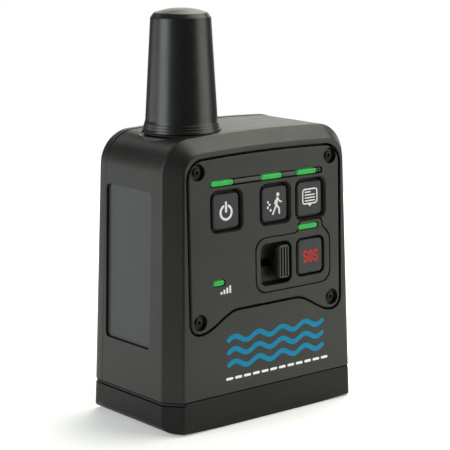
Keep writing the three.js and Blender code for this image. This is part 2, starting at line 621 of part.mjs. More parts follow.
function antennaCoax() {
  const route = new THREE.CatmullRomCurve3([
    new THREE.Vector3(ANTENNA.x, 0, 92.6),
    new THREE.Vector3(ANTENNA.x, 0, 89.5),
    new THREE.Vector3(ANTENNA.x + 2, -1.6, 86.9),
    new THREE.Vector3(ANTENNA.x + 8, -5.2, 86.2),
    new THREE.Vector3(ANTENNA.x + 13, -6.8, 85.9),
    new THREE.Vector3(ANTENNA.x + 15.2, -7, 84.4),
  ]);
  const section = new THREE.Shape();
  section.absarc(0, 0, 0.9, 0, 2 * Math.PI, false);
  return solid(new THREE.ExtrudeGeometry(section, { steps: 14, extrudePath: route, bevelEnabled: false, curveSegments: 4 }));
}

// ---- Battery bay -----------------------------------------------------------------------
const TRAY = { halfWidth: 15.1, halfDepth: 7.55, wall: 1.2, top: 64 };

function trayBox(grow, zRange) {
  const [w, d] = [TRAY.halfWidth + TRAY.wall + grow, TRAY.halfDepth + TRAY.wall + grow];
  return box([BAY.x - w, BAY.x + w], [BAY.y - d, BAY.y + d], zRange);
}

function batteryTray() {
  const outer = solid(trayBox(0, [HOUSING_FOOT + 0.2, TRAY.top]));
  const inner = solid(trayBox(-TRAY.wall, [0, TRAY.top - TRAY.wall]));
  return cut(outer, inner);
}

const cellX = (i) => BAY.x + (i - 0.5) * (2 * CELL.radius + CELL.gap);

function batteryCell(i) {
  const can = solid(uprightDisc(cellX(i), BAY.y, CELL.radius, [CELL.low, CELL.high - 1.2], 20));
  const button = solid(uprightDisc(cellX(i), BAY.y, 2.7, [CELL.high - 1.3, CELL.high], 12));
  return join(can, button);
}

const trayContact = (i) => {
  const [x, z] = [cellX(i), CELL.high + CLEAR];
  return solid(box([x - 4, x + 4], [BAY.y - 4, BAY.y + 4], [z, z + 0.4]));
};
const CAP_FLOOR = 6.8;
const capContact = () => solid(box([BAY.x - 13, BAY.x + 13], [BAY.y - 5, BAY.y + 5], [CAP_FLOOR + CLEAR, CAP_FLOOR + 0.8]));

// A contact spring under each cell: a cone of wire.
function cellSpring(i) {
  const [turns, steps, low, high] = [2.5, 32, 8.4, 10.4];
  const points = [];
  for (let s = 0; s <= steps; s += 1) {
    const t = s / steps;
    const radius = 4.6 - 2.6 * t;
    const angle = turns * 2 * Math.PI * t;
    points.push(new THREE.Vector3(
      cellX(i) + radius * Math.cos(angle), BAY.y + radius * Math.sin(angle), low + (high - low) * t,
    ));
  }
  const section = new THREE.Shape();
  section.absarc(0, 0, 0.32, 0, 2 * Math.PI, false);
  const extrudePath = new THREE.CatmullRomCurve3(points);
  return solid(new THREE.ExtrudeGeometry(section, { steps, extrudePath, bevelEnabled: false, curveSegments: 2 }));
}

// ---- Base lock -------------------------------------------------------------------------
const LUG = { x: 6.7, halfWidth: 0.9, y: 4.2, z: 1.25 };
const PIN = { radius: 0.45, hole: 0.75, barrel: 1.15 };
const DISC = [2.6, 4.7];

function lockKnob() {
  const disc = solid(uprightDisc(LOCK.x, LOCK.y, LOCK.recess - CLEAR, DISC, 32));
  const shank = solid(uprightDisc(LOCK.x, LOCK.y, 3, [DISC[1] - 0.2, 18.5], 20));
  const lugs = [-1, 1].map((s) => {
    const x = LOCK.x + s * LUG.x;
    const y = LOCK.y + LUG.y;
    return solid(box([x - LUG.halfWidth, x + LUG.halfWidth], [y - 1.1, y + 1.1], [LUG.z - 0.95, DISC[0] + 0.2]));
  });
  return cut(join(disc, shank, ...lugs), hingeRod(PIN.hole, 20));
}

// A rod along the ring's hinge axis.
function hingeRod(radius, length, x = LOCK.x) {
  const rod = new THREE.CylinderGeometry(radius, radius, length, 12).rotateZ(Math.PI / 2);
  return solid(rod.translate(x, LOCK.y + LUG.y, LUG.z));
}

const ringPin = () => hingeRod(PIN.radius, 2 * (LUG.x + LUG.halfWidth) - 0.4);

// The fold-flat ring: a half-round loop hinged between the knob's lugs.
function lockRing() {
  const half = LUG.x - LUG.halfWidth - CLEAR;
  const loop = new THREE.Shape();
  loop.moveTo(-half, 0.95);
  loop.lineTo(-half, -4);
  loop.bezierCurveTo(-half, -11.4, half, -11.4, half, -4);
  loop.lineTo(half, 0.95);
  loop.lineTo(half - 1.6, 0.95);
  loop.lineTo(half - 1.6, -4);
  loop.bezierCurveTo(half - 1.6, -9.2, -half + 1.6, -9.2, -half + 1.6, -4);
  loop.lineTo(-half + 1.6, 0.95);
  const flat = new THREE.ExtrudeGeometry(loop, { depth: 1.5, bevelEnabled: false, curveSegments: 12 });
  const body = solid(flat.translate(LOCK.x, LOCK.y + LUG.y, LUG.z - 0.75));
  const knuckles = [-1, 1].map((s) => hingeRod(PIN.barrel, 1.6, LOCK.x + s * (half - 0.8)));
  return cut(join(body, ...knuckles), hingeRod(PIN.hole, 20));
}

// ---- Assembly --------------------------------------------------------------------------
const beacon = new THREE.Group();

function addShells() {
  beacon.add(
    piece('main_housing', mainHousing(), SHELL),
    piece('back_cover', backCover(), SHELL),
    piece('base_cap', baseCap(), SHELL),
    piece('base_gasket', baseGasket(), RUBBER),
  );
  for (const [name, x, z] of BACK_SCREWS) {
    const y = backFaceY(z) - COVER_SCREW_DEPTH + CLEAR + 1.2;
    beacon.add(placedScrew(`back_screw_${name}`, x, y, z, 1, 8.6));
  }
  for (const side of Object.keys(SIDES)) {
    SIDES[side].add(piece(`${side}_label_pad`, sidePad(side), LABEL));
    beacon.add(SIDES[side]);
  }
}

function addKeypad() {
  FRONT.add(
    piece('keypad_bezel', keypadBezel(), BEZEL),
    piece('bezel_gasket', bezelGasket(), RUBBER),
    piece('sos_insert', sosInsert(), BEZEL),
    piece('led_bar', ledBar(), INNER),
    piece('lock_slider', lockSlider(), INNER),
    piece('keypad_membrane', keypadMembrane(), RUBBER),
  );
  for (const key of KEYS) FRONT.add(piece(`${key[0]}_button`, keyCap(key), KEYTOP));
  for (const lens of LENSES) FRONT.add(piece(`${lens[0]}_led_lens`, ledLens(lens), LENS));
  for (const [name, x, z] of SCREWS) FRONT.add(placedScrew(`bezel_screw_${name}`, x, 0.1, z, -1, 5.2));
}

function addElectronics() {
  FRONT.add(
    piece('main_board', mainBoard(), BOARD_GREEN),
    piece('slide_switch', slideSwitch(), INNER),
    piece('satellite_modem', satelliteModem(), BRIGHT_STEEL),
  );
  for (const key of KEYS) FRONT.add(piece(`${key[0]}_dome`, dome(key), BRIGHT_STEEL));
  for (const lens of LENSES) FRONT.add(piece(`${lens[0]}_led`, ledChip(lens), CERAMIC));
  beacon.add(FRONT);
  beacon.add(piece('gps_patch_antenna', gpsPatch(), CERAMIC));
}

function addAntenna() {
  const mast = new THREE.Group();
  mast.position.set(ANTENNA.x, ANTENNA.y, 0);
  mast.add(
    piece('antenna_cover', antennaCover(), RADOME),
    piece('antenna_seal', ring(0, 0, ANTENNA.neck + CLEAR, 12.6, SEAL), RUBBER),
    piece('antenna_nut', ring(0, 0, ANTENNA.neck + CLEAR, 12.4, [91.6, 94], 6), BRASS),
    piece('antenna_former', solid(uprightDisc(0, 0, 5.85, [93.2, 133], 20)), INNER),
    piece('antenna_helix', antennaHelix(), COPPER),
  );
  beacon.add(mast);
  beacon.add(piece('antenna_coax', antennaCoax(), RUBBER));
}

function addPowerBay() {
  beacon.add(piece('battery_tray', batteryTray(), INNER));
  for (const i of [0, 1]) {
    beacon.add(
      piece(`battery_cell_${i + 1}`, batteryCell(i), CELL_WRAP),
      piece(`tray_contact_${i + 1}`, trayContact(i), BRIGHT_STEEL),
      piece(`cell_spring_${i + 1}`, cellSpring(i), BRIGHT_STEEL),
    );
  }
  beacon.add(
    piece('cap_contact_plate', capContact(), BRIGHT_STEEL),
    piece('lock_insert', ring(LOCK.x, LOCK.y, 3.3, 5, [12, 19.6]), BRASS),
    piece('lock_knob', lockKnob(), INNER),
    piece('ring_pin', ringPin(), STEEL),
    piece('lock_ring', lockRing(), STEEL),
  );
}

addShells();
addKeypad();
addElectronics();
addAntenna();
addPowerBay();

export default beacon;
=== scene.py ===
"""Looks of a handheld emergency position beacon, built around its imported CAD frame.

X is the width, -Y the keypad side and +Z up. Sizes below are in millimetres, as the CAD's are,
and each mesh is scaled to metres when it is made.
"""

import math

import bmesh
import bpy
from mathutils import Matrix, Vector


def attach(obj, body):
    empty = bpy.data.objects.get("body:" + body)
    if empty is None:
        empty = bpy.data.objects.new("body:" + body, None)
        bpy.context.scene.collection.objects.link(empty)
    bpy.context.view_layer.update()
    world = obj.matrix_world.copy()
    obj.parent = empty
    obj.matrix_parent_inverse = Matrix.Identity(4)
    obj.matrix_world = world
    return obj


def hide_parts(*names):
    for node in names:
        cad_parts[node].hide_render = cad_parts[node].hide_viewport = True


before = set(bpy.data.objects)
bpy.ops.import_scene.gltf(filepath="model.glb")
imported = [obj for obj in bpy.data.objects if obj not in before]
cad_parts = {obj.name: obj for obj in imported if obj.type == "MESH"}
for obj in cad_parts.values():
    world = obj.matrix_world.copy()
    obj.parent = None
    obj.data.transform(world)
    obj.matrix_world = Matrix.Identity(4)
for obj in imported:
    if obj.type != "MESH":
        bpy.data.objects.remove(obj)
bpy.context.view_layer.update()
MM = 0.001


def corner_places(upper_x, upper_z, lower_x, lower_z):
    """Four places (x, z) that mirror each other, by name."""
    return {
        "upper_left": (-upper_x, upper_z),
        "upper_right": (upper_x, upper_z),
        "lower_left": (-lower_x, lower_z),
        "lower_right": (lower_x, lower_z),
    }


# ---- Driving dimensions, as in the CAD -------------------------------
FOOT_HALF_WIDTH = 42.1
SIDE_TAPER = 0.0278
HALF_DEPTH = 23
DEPTH_TAPER = 0.00115
BODY_TOP = 98.4
TOP_RADIUS = 11.5
FOOT_RADIUS = 3.2
DROP, DROP_RADIUS = 12, 10.5  # the rounded forms run on below the foot, clear of it
TOP_SAG = 0.7
FOOT_RISE = 0.6
FOOT_FLAT = 18
FOOT_PULL, TOP_PULL = 0.3, 0.2  # how far the corners' handles stand off the foot and the top
WALL = 2.4
CHAMFER_ACROSS = 4.8
CHAMFER_DEEP = 6
BACK_ROUND = 3.5
FRONT_WALL = 6.5

CAP_TOP, CAP_WALL, CAP_FLOOR = 9.95, 3.2, 6.8
POCKET_Z = 20  # middle of the cutter that hollows the cap, which runs out through its top
BAND = (10.25, 11)
HOUSING_FOOT = 11.3
FLOOR_TOP = 13.5
BACK_SPLIT = 17.3
BACK_PROUD = 0.2
TONGUE_HALF_WIDTH = 36
TONGUE_BACK = -18.5

BEZEL_SIDE = 33.8
BEZEL_TOP = 92.2
BEZEL_TOP_DROP = 0.6
BEZEL_CORNER = 7
BEZEL_THICK = 2.3
BEZEL_GAP = 0.65
LOBE_X, LOBE_Z, LOBE_RADIUS = 29.3, 37.3, 4.6
WAIST_X, WAIST_Z = 12.6, 39.05
WAIST_HANDLE = (LOBE_X - WAIST_X) * 0.36
LEDGE = 3.7
WINDOW_WIDTH, WINDOW_LOW, WINDOW_HIGH = 60, 42, 84.3
BEZEL_SCREWS = corner_places(29, 87.2, LOBE_X, LOBE_Z)

KEY_WIDTH, KEY_HEIGHT, KEY_RADIUS, KEY_BACK = 11.4, 12, 1.7, 2.6
KEYS = {  # centre x, centre z, how far the top is sunk
    "power": (-17.2, 73.2, 0.6),
    "track": (4, 73.2, 0.6),
    "message": (19.9, 73.2, 0.6),
    "sos": (19.5, 53.2, 0.1),
}
KEY_GAP, KEY_FLANGE, KEY_FLANGE_THICK = 0.5, 0.75, 0.6
INSERT_LEFT, INSERT_RIGHT, INSERT_LOW, INSERT_HIGH = -4.9, 28.5, 43.4, 61.9
BUMP_LEFT, BUMP_RIGHT, BUMP_HIGH = 14.4, 24.9, 65.7
LENS_HEIGHT = 1.75
LENSES = {  # centre x, centre z, length
    "power": (-18.7, 82.7, 9.4),
    "track": (2.7, 82.7, 9.2),
    "message": (18.4, 82.7, 9),
    "sos": (18.8, 63.7, 8.6),
    "signal": (-20.9, 49.4, 4.6),
}
CHANNEL_LEFT, CHANNEL_RIGHT, CHANNEL_Z, CHANNEL_HEIGHT = -24.3, 25.5, 82.7, 2.4

WELL_X, WELL_Z, WELL_WIDTH, WELL_HEIGHT, WELL_RADIUS, WELL_DEPTH = 4, 52.7, 13.6, 14.4, 2.6, 4.6
KNOB_X, KNOB_Z, KNOB_WIDTH, KNOB_HEIGHT = 7.35, 52.9, 4.8, 11.6
KNOB_RIBS, RIB_PITCH = 4, 1.24

ANTENNA_X, ANTENNA_Y = -19.6, 0
NECK_RADIUS, NECK_FOOT = 9, 91.4
SEAT_RADIUS, SEAT_FLOOR, BOSS_RADIUS, BOSS_FOOT = 13.45, 97.1, 14.6, 94.3
ABOVE = 104  # height that clears the roof

LOCK_X, LOCK_Y, LOCK_RECESS, LOCK_ROOF = 24, 1, 9.6, 5
PIN_Y, PIN_Z, PIN_RADIUS, PIN_REACH = LOCK_Y + 4.2, 1.25, 0.75, 12
RING_HALF_WIDTH, RING_WIRE, KNUCKLE_RADIUS = 5.5, 0.75, 1.15
BAY_X, BAY_Y, TRAY_HALF_WIDTH, TRAY_HALF_DEPTH, TRAY_GAP = -12, 8.5, 16.3, 8.75, 0.3

PAD_CENTRE, PAD_WIDTH, PAD_LOW, PAD_HIGH, PAD_DEPTH, PAD_THICK = 2.7, 25, 27.6, 80.4, 1.3, 0.3
PAD_Z, PAD_HEIGHT = (PAD_LOW + PAD_HIGH) / 2, PAD_HIGH - PAD_LOW
COVER_SCREWS = corner_places(35.4, 84, 35.4, 21)
COVER_SCREW_DEPTH = 1.9
SCREW_RADIUS, WASHER_EDGE, SHANK_RADIUS = 1.6, 0.75, 1.15
SOCKET_RADIUS, SOCKET_LOBES, SOCKET_SWING = 0.62, 6, 0.17
FAR = 120  # reach of a cutter that runs past the whole body
PROUD = -3  # where a cutter starts, in front of the face that it cuts
SKIM = -0.02  # and where its rim meets that face

# ---- Frames of the faces: y runs into the body -----------------------
WORLD = Matrix.Identity(4)
FRONT_LEAN = Matrix.Rotation(-math.atan(HALF_DEPTH * DEPTH_TAPER), 4, "X")
FRONT = Matrix.Translation((0, -HALF_DEPTH, 0)) @ FRONT_LEAN
BACK = Matrix.Rotation(math.pi, 4, "Z") @ FRONT  # its x runs to the left
ANTENNA_AXIS = Matrix.Translation((ANTENNA_X, ANTENNA_Y, 0))
LOCK_AXIS = Matrix.Translation((LOCK_X, LOCK_Y, 0))


def side_frame(side):
    """The frame of the left (-1) or right (1) face."""
    place = Matrix.Translation((side * FOOT_HALF_WIDTH, 0, 0))
    lean = Matrix.Rotation(-side * math.atan(SIDE_TAPER), 4, "Y")
    return place @ lean @ Matrix.Rotation(side * math.pi / 2, 4, "Z")


def pin_frame(x):
    """The frame of something turned about the ring's pin, centred on x."""
    return Matrix.Translation((x, PIN_Y, PIN_Z)) @ Matrix.Rotation(math.pi / 2, 4, "Y")


# ---- Outlines: lists of (x, z) ---------------------------------------
CORNER_HANDLE = 0.5523  # handle length that makes a near-circular corner


class Path:
    """An outline drawn point by point in the XZ plane."""

    def __init__(self, x, z):
        self.points = [(x, z)]

    def line(self, x, z):
        self.points.append((x, z))
        return self

    def curve(self, first, second, end, steps=14):
        ends = (self.points[-1], first, second, end)
        for i in range(1, steps + 1):
            t = i / steps
            weights = ((1 - t) ** 3, 3 * t * (1 - t) ** 2, 3 * t * t * (1 - t), t**3)
            self.points.append(tuple(sum(w * p[k] for w, p in zip(weights, ends)) for k in (0, 1)))
        return self

    def pull(self, control, end, share, steps):
        first = [s + share * (c - s) for s, c in zip(self.points[-1], control)]
        second = [e + share * (c - e) for e, c in zip(end, control)]
        return self.curve(first, second, end, steps)

    def bend(self, control, end, steps=14):
        return self.pull(control, end, 2 / 3, steps)

    def corner(self, control, end, steps=14):
        return self.pull(control, end, CORNER_HANDLE, steps)

    def closed(self):
        return self.points[:-1]


def rounded_rect(x, z, width, height, radius, steps=7):
    points = []
    radius = max(radius, 0.05)
    for quarter, (sx, sz) in enumerate(((1, -1), (1, 1), (-1, 1), (-1, -1))):
        centre_x = x + sx * (width / 2 - radius)
        centre_z = z + sz * (height / 2 - radius)
        for i in range(steps + 1):
            angle = math.radians(90 * (quarter - 1 + i / steps))
            points.append((centre_x + radius * math.cos(angle), centre_z + radius * math.sin(angle)))
    return points


def circle(x, z, radius, steps):
    turn = 2 * math.pi / steps
    return [(x + radius * math.cos(i * turn), z + radius * math.sin(i * turn)) for i in range(steps)]


def body_outline(grow, drop=0, foot_radius=FOOT_RADIUS):
    inset = -grow
    foot, top = inset - drop, BODY_TOP - inset
    foot_edge, top_edge = foot + FOOT_RISE, top - TOP_SAG
    foot_round, top_round = foot_radius - inset, TOP_RADIUS - inset
    foot_side, top_side = foot_edge + foot_round, top_edge - top_round

    def side(z):
        return FOOT_HALF_WIDTH - SIDE_TAPER * z - inset

    foot_end, top_end = side(0) - foot_round, side(top) - top_round
    path = Path(-FOOT_FLAT, foot).line(FOOT_FLAT, foot)
    path.bend(((FOOT_FLAT + foot_end) / 2, foot), (foot_end, foot_edge))
    path.corner((side(0), foot_edge + FOOT_PULL), (side(foot_side), foot_side), 18)
    path.line(side(top_side), top_side)
    path.corner((side(top), top_edge + TOP_PULL), (top_end, top_edge), 18)
    path.bend((0, top + TOP_SAG), (-top_end, top_edge), 24)
    path.corner((-side(top), top_edge + TOP_PULL), (-side(top_side), top_side), 18)
    path.line(-side(foot_side), foot_side)
    path.corner((-side(0), foot_edge + FOOT_PULL), (-foot_end, foot_edge), 18)
    path.bend((-(FOOT_FLAT + foot_end) / 2, foot), (-FOOT_FLAT, foot))
    return path.closed()


def bezel_outline(grow):
    side, top = BEZEL_SIDE + grow, BEZEL_TOP + grow
    corner_z, corner = top - BEZEL_TOP_DROP, BEZEL_CORNER + grow
    low, waist = LOBE_Z - LOBE_RADIUS - grow, WAIST_Z - grow
    path = Path(-side + corner, corner_z)
    path.corner((-side, corner_z), (-side, corner_z - corner))
    path.line(-side, LOBE_Z)
    path.corner((-side, low), (-LOBE_X, low))
    path.curve((-LOBE_X + WAIST_HANDLE, low), (-WAIST_X - WAIST_HANDLE, waist), (-WAIST_X, waist), 20)
    path.line(WAIST_X, waist)
    path.curve((WAIST_X + WAIST_HANDLE, waist), (LOBE_X - WAIST_HANDLE, low), (LOBE_X, low), 20)
    path.corner((side, low), (side, LOBE_Z))
    path.line(side, corner_z - corner)
    path.corner((side, corner_z), (side - corner, corner_z))
    path.bend((0, top + BEZEL_TOP_DROP), (-side + corner, corner_z), 24)
    return path.closed()


def insert_outline(grow):
    left, right = INSERT_LEFT - grow, INSERT_RIGHT + grow
    low, high = INSERT_LOW - grow, INSERT_HIGH + grow
    bump_left, bump_right, bump_high = BUMP_LEFT - grow, BUMP_RIGHT + grow, BUMP_HIGH + grow
    big, small = 4.4, 1.3
    path = Path(left + big, low).line(right - big, low)
    path.corner((right, low), (right, low + big))
    path.line(right, high - big)
    path.bend((right, high - 0.4 * big), (bump_right + 0.7, high + 0.5))
    path.bend((bump_right, high + 1), (bump_right, high + 2 * small))
    path.corner((bump_right, bump_high), (bump_right - small, bump_high), 8)
    path.line(bump_left + small, bump_high)
    path.corner((bump_left, bump_high), (bump_left, bump_high - small), 8)
    path.bend((bump_left, high), (bump_left - 2 * small, high))
    path.line(left + big, high)
    path.corner((left, high), (left, high - big))
    path.line(left, low + big)
    path.corner((left, low), (left + big, low))
    return path.closed()


def rect_outline(x, z, width, height, radius):
    return lambda grow: rounded_rect(x, z, width + 2 * grow, height + 2 * grow, radius + grow)


def circle_outline(x, z, radius, steps=40):
    return lambda grow: circle(x, z, radius + grow, steps)


def key_outline(key):
    x, z, _ = KEYS[key]
    return rect_outline(x, z, KEY_WIDTH, KEY_HEIGHT, KEY_RADIUS)


def lens_outline(lens):
    x, z, length = LENSES[lens]
    return rect_outline(x, z, length, LENS_HEIGHT, LENS_HEIGHT / 2 - 0.02)


CHANNEL = rect_outline(
    (CHANNEL_LEFT + CHANNEL_RIGHT) / 2,
    CHANNEL_Z,
    CHANNEL_RIGHT - CHANNEL_LEFT,
    CHANNEL_HEIGHT,
    CHANNEL_HEIGHT / 2 - 0.05,
)
WELL = rect_outline(WELL_X, WELL_Z, WELL_WIDTH, WELL_HEIGHT, WELL_RADIUS)


# ---- Profiles: lists of (grow, depth) --------------------------------
def profile(*corners, steps=5):
    """A line through corners (a, b, cut), each rounded from `cut` before it to `cut` after it."""
    rows = []
    for i, (a, b, cut) in enumerate(corners):
        if not cut:
            rows.append((a, b))
            continue
        here = Vector((a, b))
        start = here + (Vector(corners[i - 1][:2]) - here).normalized() * cut
        end = here + (Vector(corners[i + 1][:2]) - here).normalized() * cut
        for s in range(steps + 1):
            t = s / steps
            rows.append(tuple((1 - t) ** 2 * start + 2 * t * (1 - t) * here + t * t * end))
    return rows


def hole_profile(rim, depth, grow=0):
    """A hole from well in front of a face to `depth`, its rim rounded."""
    rows = profile((grow + 1, SKIM, 0), (grow, SKIM, rim), (grow, depth, 0), steps=4)
    return [(grow + rim, PROUD), *rows[1:]]


def plate_profile(rim, front, back, grow=0):
    """A plate from `front` to `back`, its front rim rounded."""
    return profile((grow - 1, front, 0), (grow, front, rim), (grow, back, 0), steps=4)[1:]


# ---- Meshes ----------------------------------------------------------
def to_object(name, bm, place=WORLD):
    bmesh.ops.recalc_face_normals(bm, faces=bm.faces)
    bm.transform(Matrix.Scale(MM, 4) @ place)
    mesh = bpy.data.meshes.new(name)
    bm.to_mesh(mesh)
    bm.free()
    piece = bpy.data.objects.new(name, mesh)
    bpy.context.scene.collection.objects.link(piece)
    return piece


def skin(bm, rows, closed=False):
    """Faces between each row of points and the next, and over both ends of rows that aren't closed."""
    loops = [[bm.verts.new(point) for point in row] for row in rows]
    pairs = list(zip(loops, loops[1:])) + ([(loops[-1], loops[0])] if closed else [])
    for low, high in pairs:
        for i in range(len(low)):
            j = (i + 1) % len(low)
            bm.faces.new((low[i], low[j], high[j], high[i]))
    if not closed:
        bm.faces.new(loops[0][::-1])
        bm.faces.new(loops[-1])


def plate(name, outline, rows, place=FRONT):
    """A solid whose outline grows as its (grow, depth) rows say. Depth runs along y."""
    bm = bmesh.new()
    skin(bm, [[(x, depth, z) for x, z in outline(grow)] for grow, depth in rows])
    return to_object(name, bm, place)


def leaning_plate(name, rows, stretch=1, drop=DROP, foot_radius=DROP_RADIUS):
    """A solid of the body's outline, drawn together towards the top."""
    bm = bmesh.new()
    loops = []
    for grow, y in rows:
        outline = body_outline(grow, drop, foot_radius)
        loops.append([(x, y * (1 - DEPTH_TAPER * z), z * stretch) for x, z in outline])
    skin(bm, loops)
    return to_object(name, bm)


def turned(name, rows, place=WORLD, steps=72, closed=False):
    """A solid of revolution about z, from (radius, height) rows."""
    bm = bmesh.new()
    skin(bm, [[(x, y, z) for x, y in circle(0, 0, radius, steps)] for radius, z in rows], closed)
    bmesh.ops.remove_doubles(bm, verts=bm.verts, dist=1e-5)
    bmesh.ops.dissolve_degenerate(bm, edges=bm.edges, dist=1e-6)
    bmesh.ops.delete(bm, geom=[edge for edge in bm.edges if not edge.link_faces], context="EDGES")
    return to_object(name, bm, place)


def box(name, low, high):
    corners = ((low[0], low[1]), (high[0], low[1]), (high[0], high[1]), (low[0], high[1]))
    bm = bmesh.new()
    skin(bm, [[(x, y, z) for x, y in corners] for z in (low[2], high[2])])
    return to_object(name, bm)


def slab(name, low, high):
    """A box between two heights that runs past the whole body."""
    return box(name, (-FAR, -FAR, low), (FAR, FAR, high))


def bake(piece):
    """Keeps what the modifiers make of a piece as its own mesh."""
    graph = bpy.context.evaluated_depsgraph_get()
    mesh = bpy.data.meshes.new_from_object(piece.evaluated_get(graph))
    piece.modifiers.clear()
    piece.data = mesh
    return piece


def combine(piece, tools, operation):
    for tool in tools:
        modifier = piece.modifiers.new("combine", "BOOLEAN")
        modifier.object = tool
        modifier.operation = operation
        modifier.solver = "EXACT"
        bake(piece)
        bpy.data.objects.remove(tool)
    return piece


def cut(piece, *tools):
    return combine(piece, tools, "DIFFERENCE")


def join(piece, *tools):
    return combine(piece, tools, "UNION")


SOFT_ANGLE, SHARP_ANGLE = math.radians(25), math.radians(38)  # softened above, shaded sharp above


def soften(piece, width, chosen):
    """Rounds the sharp edges whose middle, in mm, is chosen."""
    bm = bmesh.new()
    bm.from_mesh(piece.data)
    weight = bm.edges.layers.float.new("bevel_weight_edge")
    for edge in bm.edges:
        if len(edge.link_faces) == 2 and edge.calc_face_angle() > SOFT_ANGLE:
            middle = (edge.verts[0].co + edge.verts[1].co) / 2 / MM
            if chosen(middle):
                edge[weight] = 1
    bm.to_mesh(piece.data)
    bm.free()
    modifier = piece.modifiers.new("soften", "BEVEL")
    modifier.limit_method = "WEIGHT"
    modifier.width = width * MM
    modifier.segments = 2
    modifier.use_clamp_overlap = False
    return bake(piece)


def finish(piece, material, slot, body, *nodes):
    """Shades a piece, gives it its material, ties it to its body and hides the CAD nodes it stands in
    for.
    """
    mesh = piece.data
    mesh.polygons.foreach_set("use_smooth", [True] * len(mesh.polygons))
    mesh.set_sharp_from_angle(angle=SHARP_ANGLE)
    weighted = piece.modifiers.new("even_normals", "WEIGHTED_NORMAL")
    weighted.mode = "FACE_AREA"
    weighted.keep_sharp = True
    if not mesh.materials:
        mesh.materials.append(material)
    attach(piece, body)
    if nodes:
        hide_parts(*nodes)
    return piece


# ---- Materials -------------------------------------------------------
class Shader:
    """A node material around one Principled BSDF, its textures set in the object's own space."""

    def __init__(self, name, roughness, metallic=0.0, specular=0.5):
        self.material = bpy.data.materials.new(name)
        self.material.use_nodes = True
        self.tree = self.material.node_tree
        self.surface = self.tree.nodes["Principled BSDF"]
        levels = (("Roughness", roughness), ("Metallic", metallic), ("Specular IOR Level", specular))
        for socket, level in levels:
            self.surface.inputs[socket].default_value = level
        self.space = self.node("ShaderNodeTexCoord").outputs["Object"]

    def node(self, kind, **settings):
        made = self.tree.nodes.new(kind)
        for key, value in settings.items():
            setattr(made, key, value)
        return made

    def link(self, source, target):
        self.tree.links.new(source, target)

    def noise(self, size, detail=3.0, stretch=(1, 1, 1)):
        """Noise whose features are about `size` millimetres across."""
        mapping = self.node("ShaderNodeMapping")
        self.link(self.space, mapping.inputs["Vector"])
        mapping.inputs["Scale"].default_value = stretch
        made = self.node("ShaderNodeTexNoise")
        self.link(mapping.outputs["Vector"], made.inputs["Vector"])
        made.inputs["Scale"].default_value = 1 / (size * MM)
        made.inputs["Detail"].default_value = detail
        return made.outputs["Fac"]

    def ramp(self, factor, stops):
        made = self.node("ShaderNodeValToRGB")
        self.link(factor, made.inputs["Fac"])
        elements = made.color_ramp.elements
        for i, (position, colour) in enumerate(stops):
            element = elements[i] if i < 2 else elements.new(position)
            element.position = position
            element.color = (*colour, 1)
        return made.outputs["Color"]

    def span(self, factor, low, high):
        made = self.node("ShaderNodeMapRange")
        self.link(factor, made.inputs["Value"])
        made.inputs["To Min"].default_value = low
        made.inputs["To Max"].default_value = high
        return made.outputs["Result"]

    def colour(self, source):
        self.link(source, self.surface.inputs["Base Color"])

    def mottle(self, factor, colour, dark, light, spread=0.2):
        """Runs the base colour from a darker to a lighter shade of it."""
        stops = ((0.5 - spread, shade(colour, dark)), (0.5 + spread, shade(colour, light)))
        mixed = self.ramp(factor, stops)
        self.colour(mixed)
        return mixed

    def roughness(self, source):
        self.link(source, self.surface.inputs["Roughness"])

    def bump(self, height, distance, strength=1.0, under=None):
        """A bump of `distance` millimetres, on top of another bump if one is given."""
        made = self.node("ShaderNodeBump")
        made.inputs["Strength"].default_value = strength
        made.inputs["Distance"].default_value = distance * MM
        self.link(height, made.inputs["Height"])
        if under is not None:
            self.link(under, made.inputs["Normal"])
        self.link(made.outputs["Normal"], self.surface.inputs["Normal"])
        return made.outputs["Normal"]


def shade(colour, factor):
    return tuple(c * factor for c in colour)


def moulded(name, colour, roughness, grain, specular=0.5, variation=0.12, grain_size=0.22):
    """Moulded plastic or rubber: a fine spark-eroded grain, soft handling marks and slow waviness."""
    shader = Shader(name, roughness, specular=specular)
    shader.mottle(shader.noise(14, 4), colour, 1 - variation, 1 + variation, 0.15)
    handled = shader.noise(5, 5)
    shader.roughness(shader.span(handled, roughness - 0.07, roughness + 0.07))
    waves = shader.bump(shader.noise(30, 1), 0.05, 0.35)
    shader.bump(shader.noise(grain_size, 2), 0.02, grain, under=waves)
    return shader.material


def lens_plastic(name, core, glow):
    """Lit light-pipe plastic: clear coat over a glowing body that is uneven along its length."""
    shader = Shader(name, 0.3, specular=0.25)
    colour = shader.mottle(shader.noise(2.2, 3), core, 0.82, 1.12)
    shader.link(colour, shader.surface.inputs["Emission Color"])
    shader.surface.inputs["Emission Strength"].default_value = glow
    shader.surface.inputs["Coat Weight"].default_value = 0.15
    shader.surface.inputs["Coat Roughness"].default_value = 0.15
    shader.bump(shader.noise(0.9, 2), 0.01, 0.3)
    return shader.material


def ink(name, colour):
    """Screen-printed ink with slightly uneven cover."""
    shader = Shader(name, 0.6, specular=0.15)
    shader.mottle(shader.noise(0.5, 3), colour, 0.88, 1.04)
    shader.bump(shader.noise(0.18, 2), 0.008, 0.3)
    return shader.material


def metal(name, colour, roughness, scratch=(1, 1, 0.06)):
    """Brushed or plated metal: drawn-out streaks in the colour, roughness and bump."""
    shader = Shader(name, roughness, metallic=1.0)
    streaks = shader.noise(0.25, 4, scratch)
    shader.mottle(streaks, colour, 0.85, 1.1)
    shader.roughness(shader.span(streaks, roughness - 0.08, roughness + 0.1))
    shader.bump(streaks, 0.006, 0.4)
    return shader.material


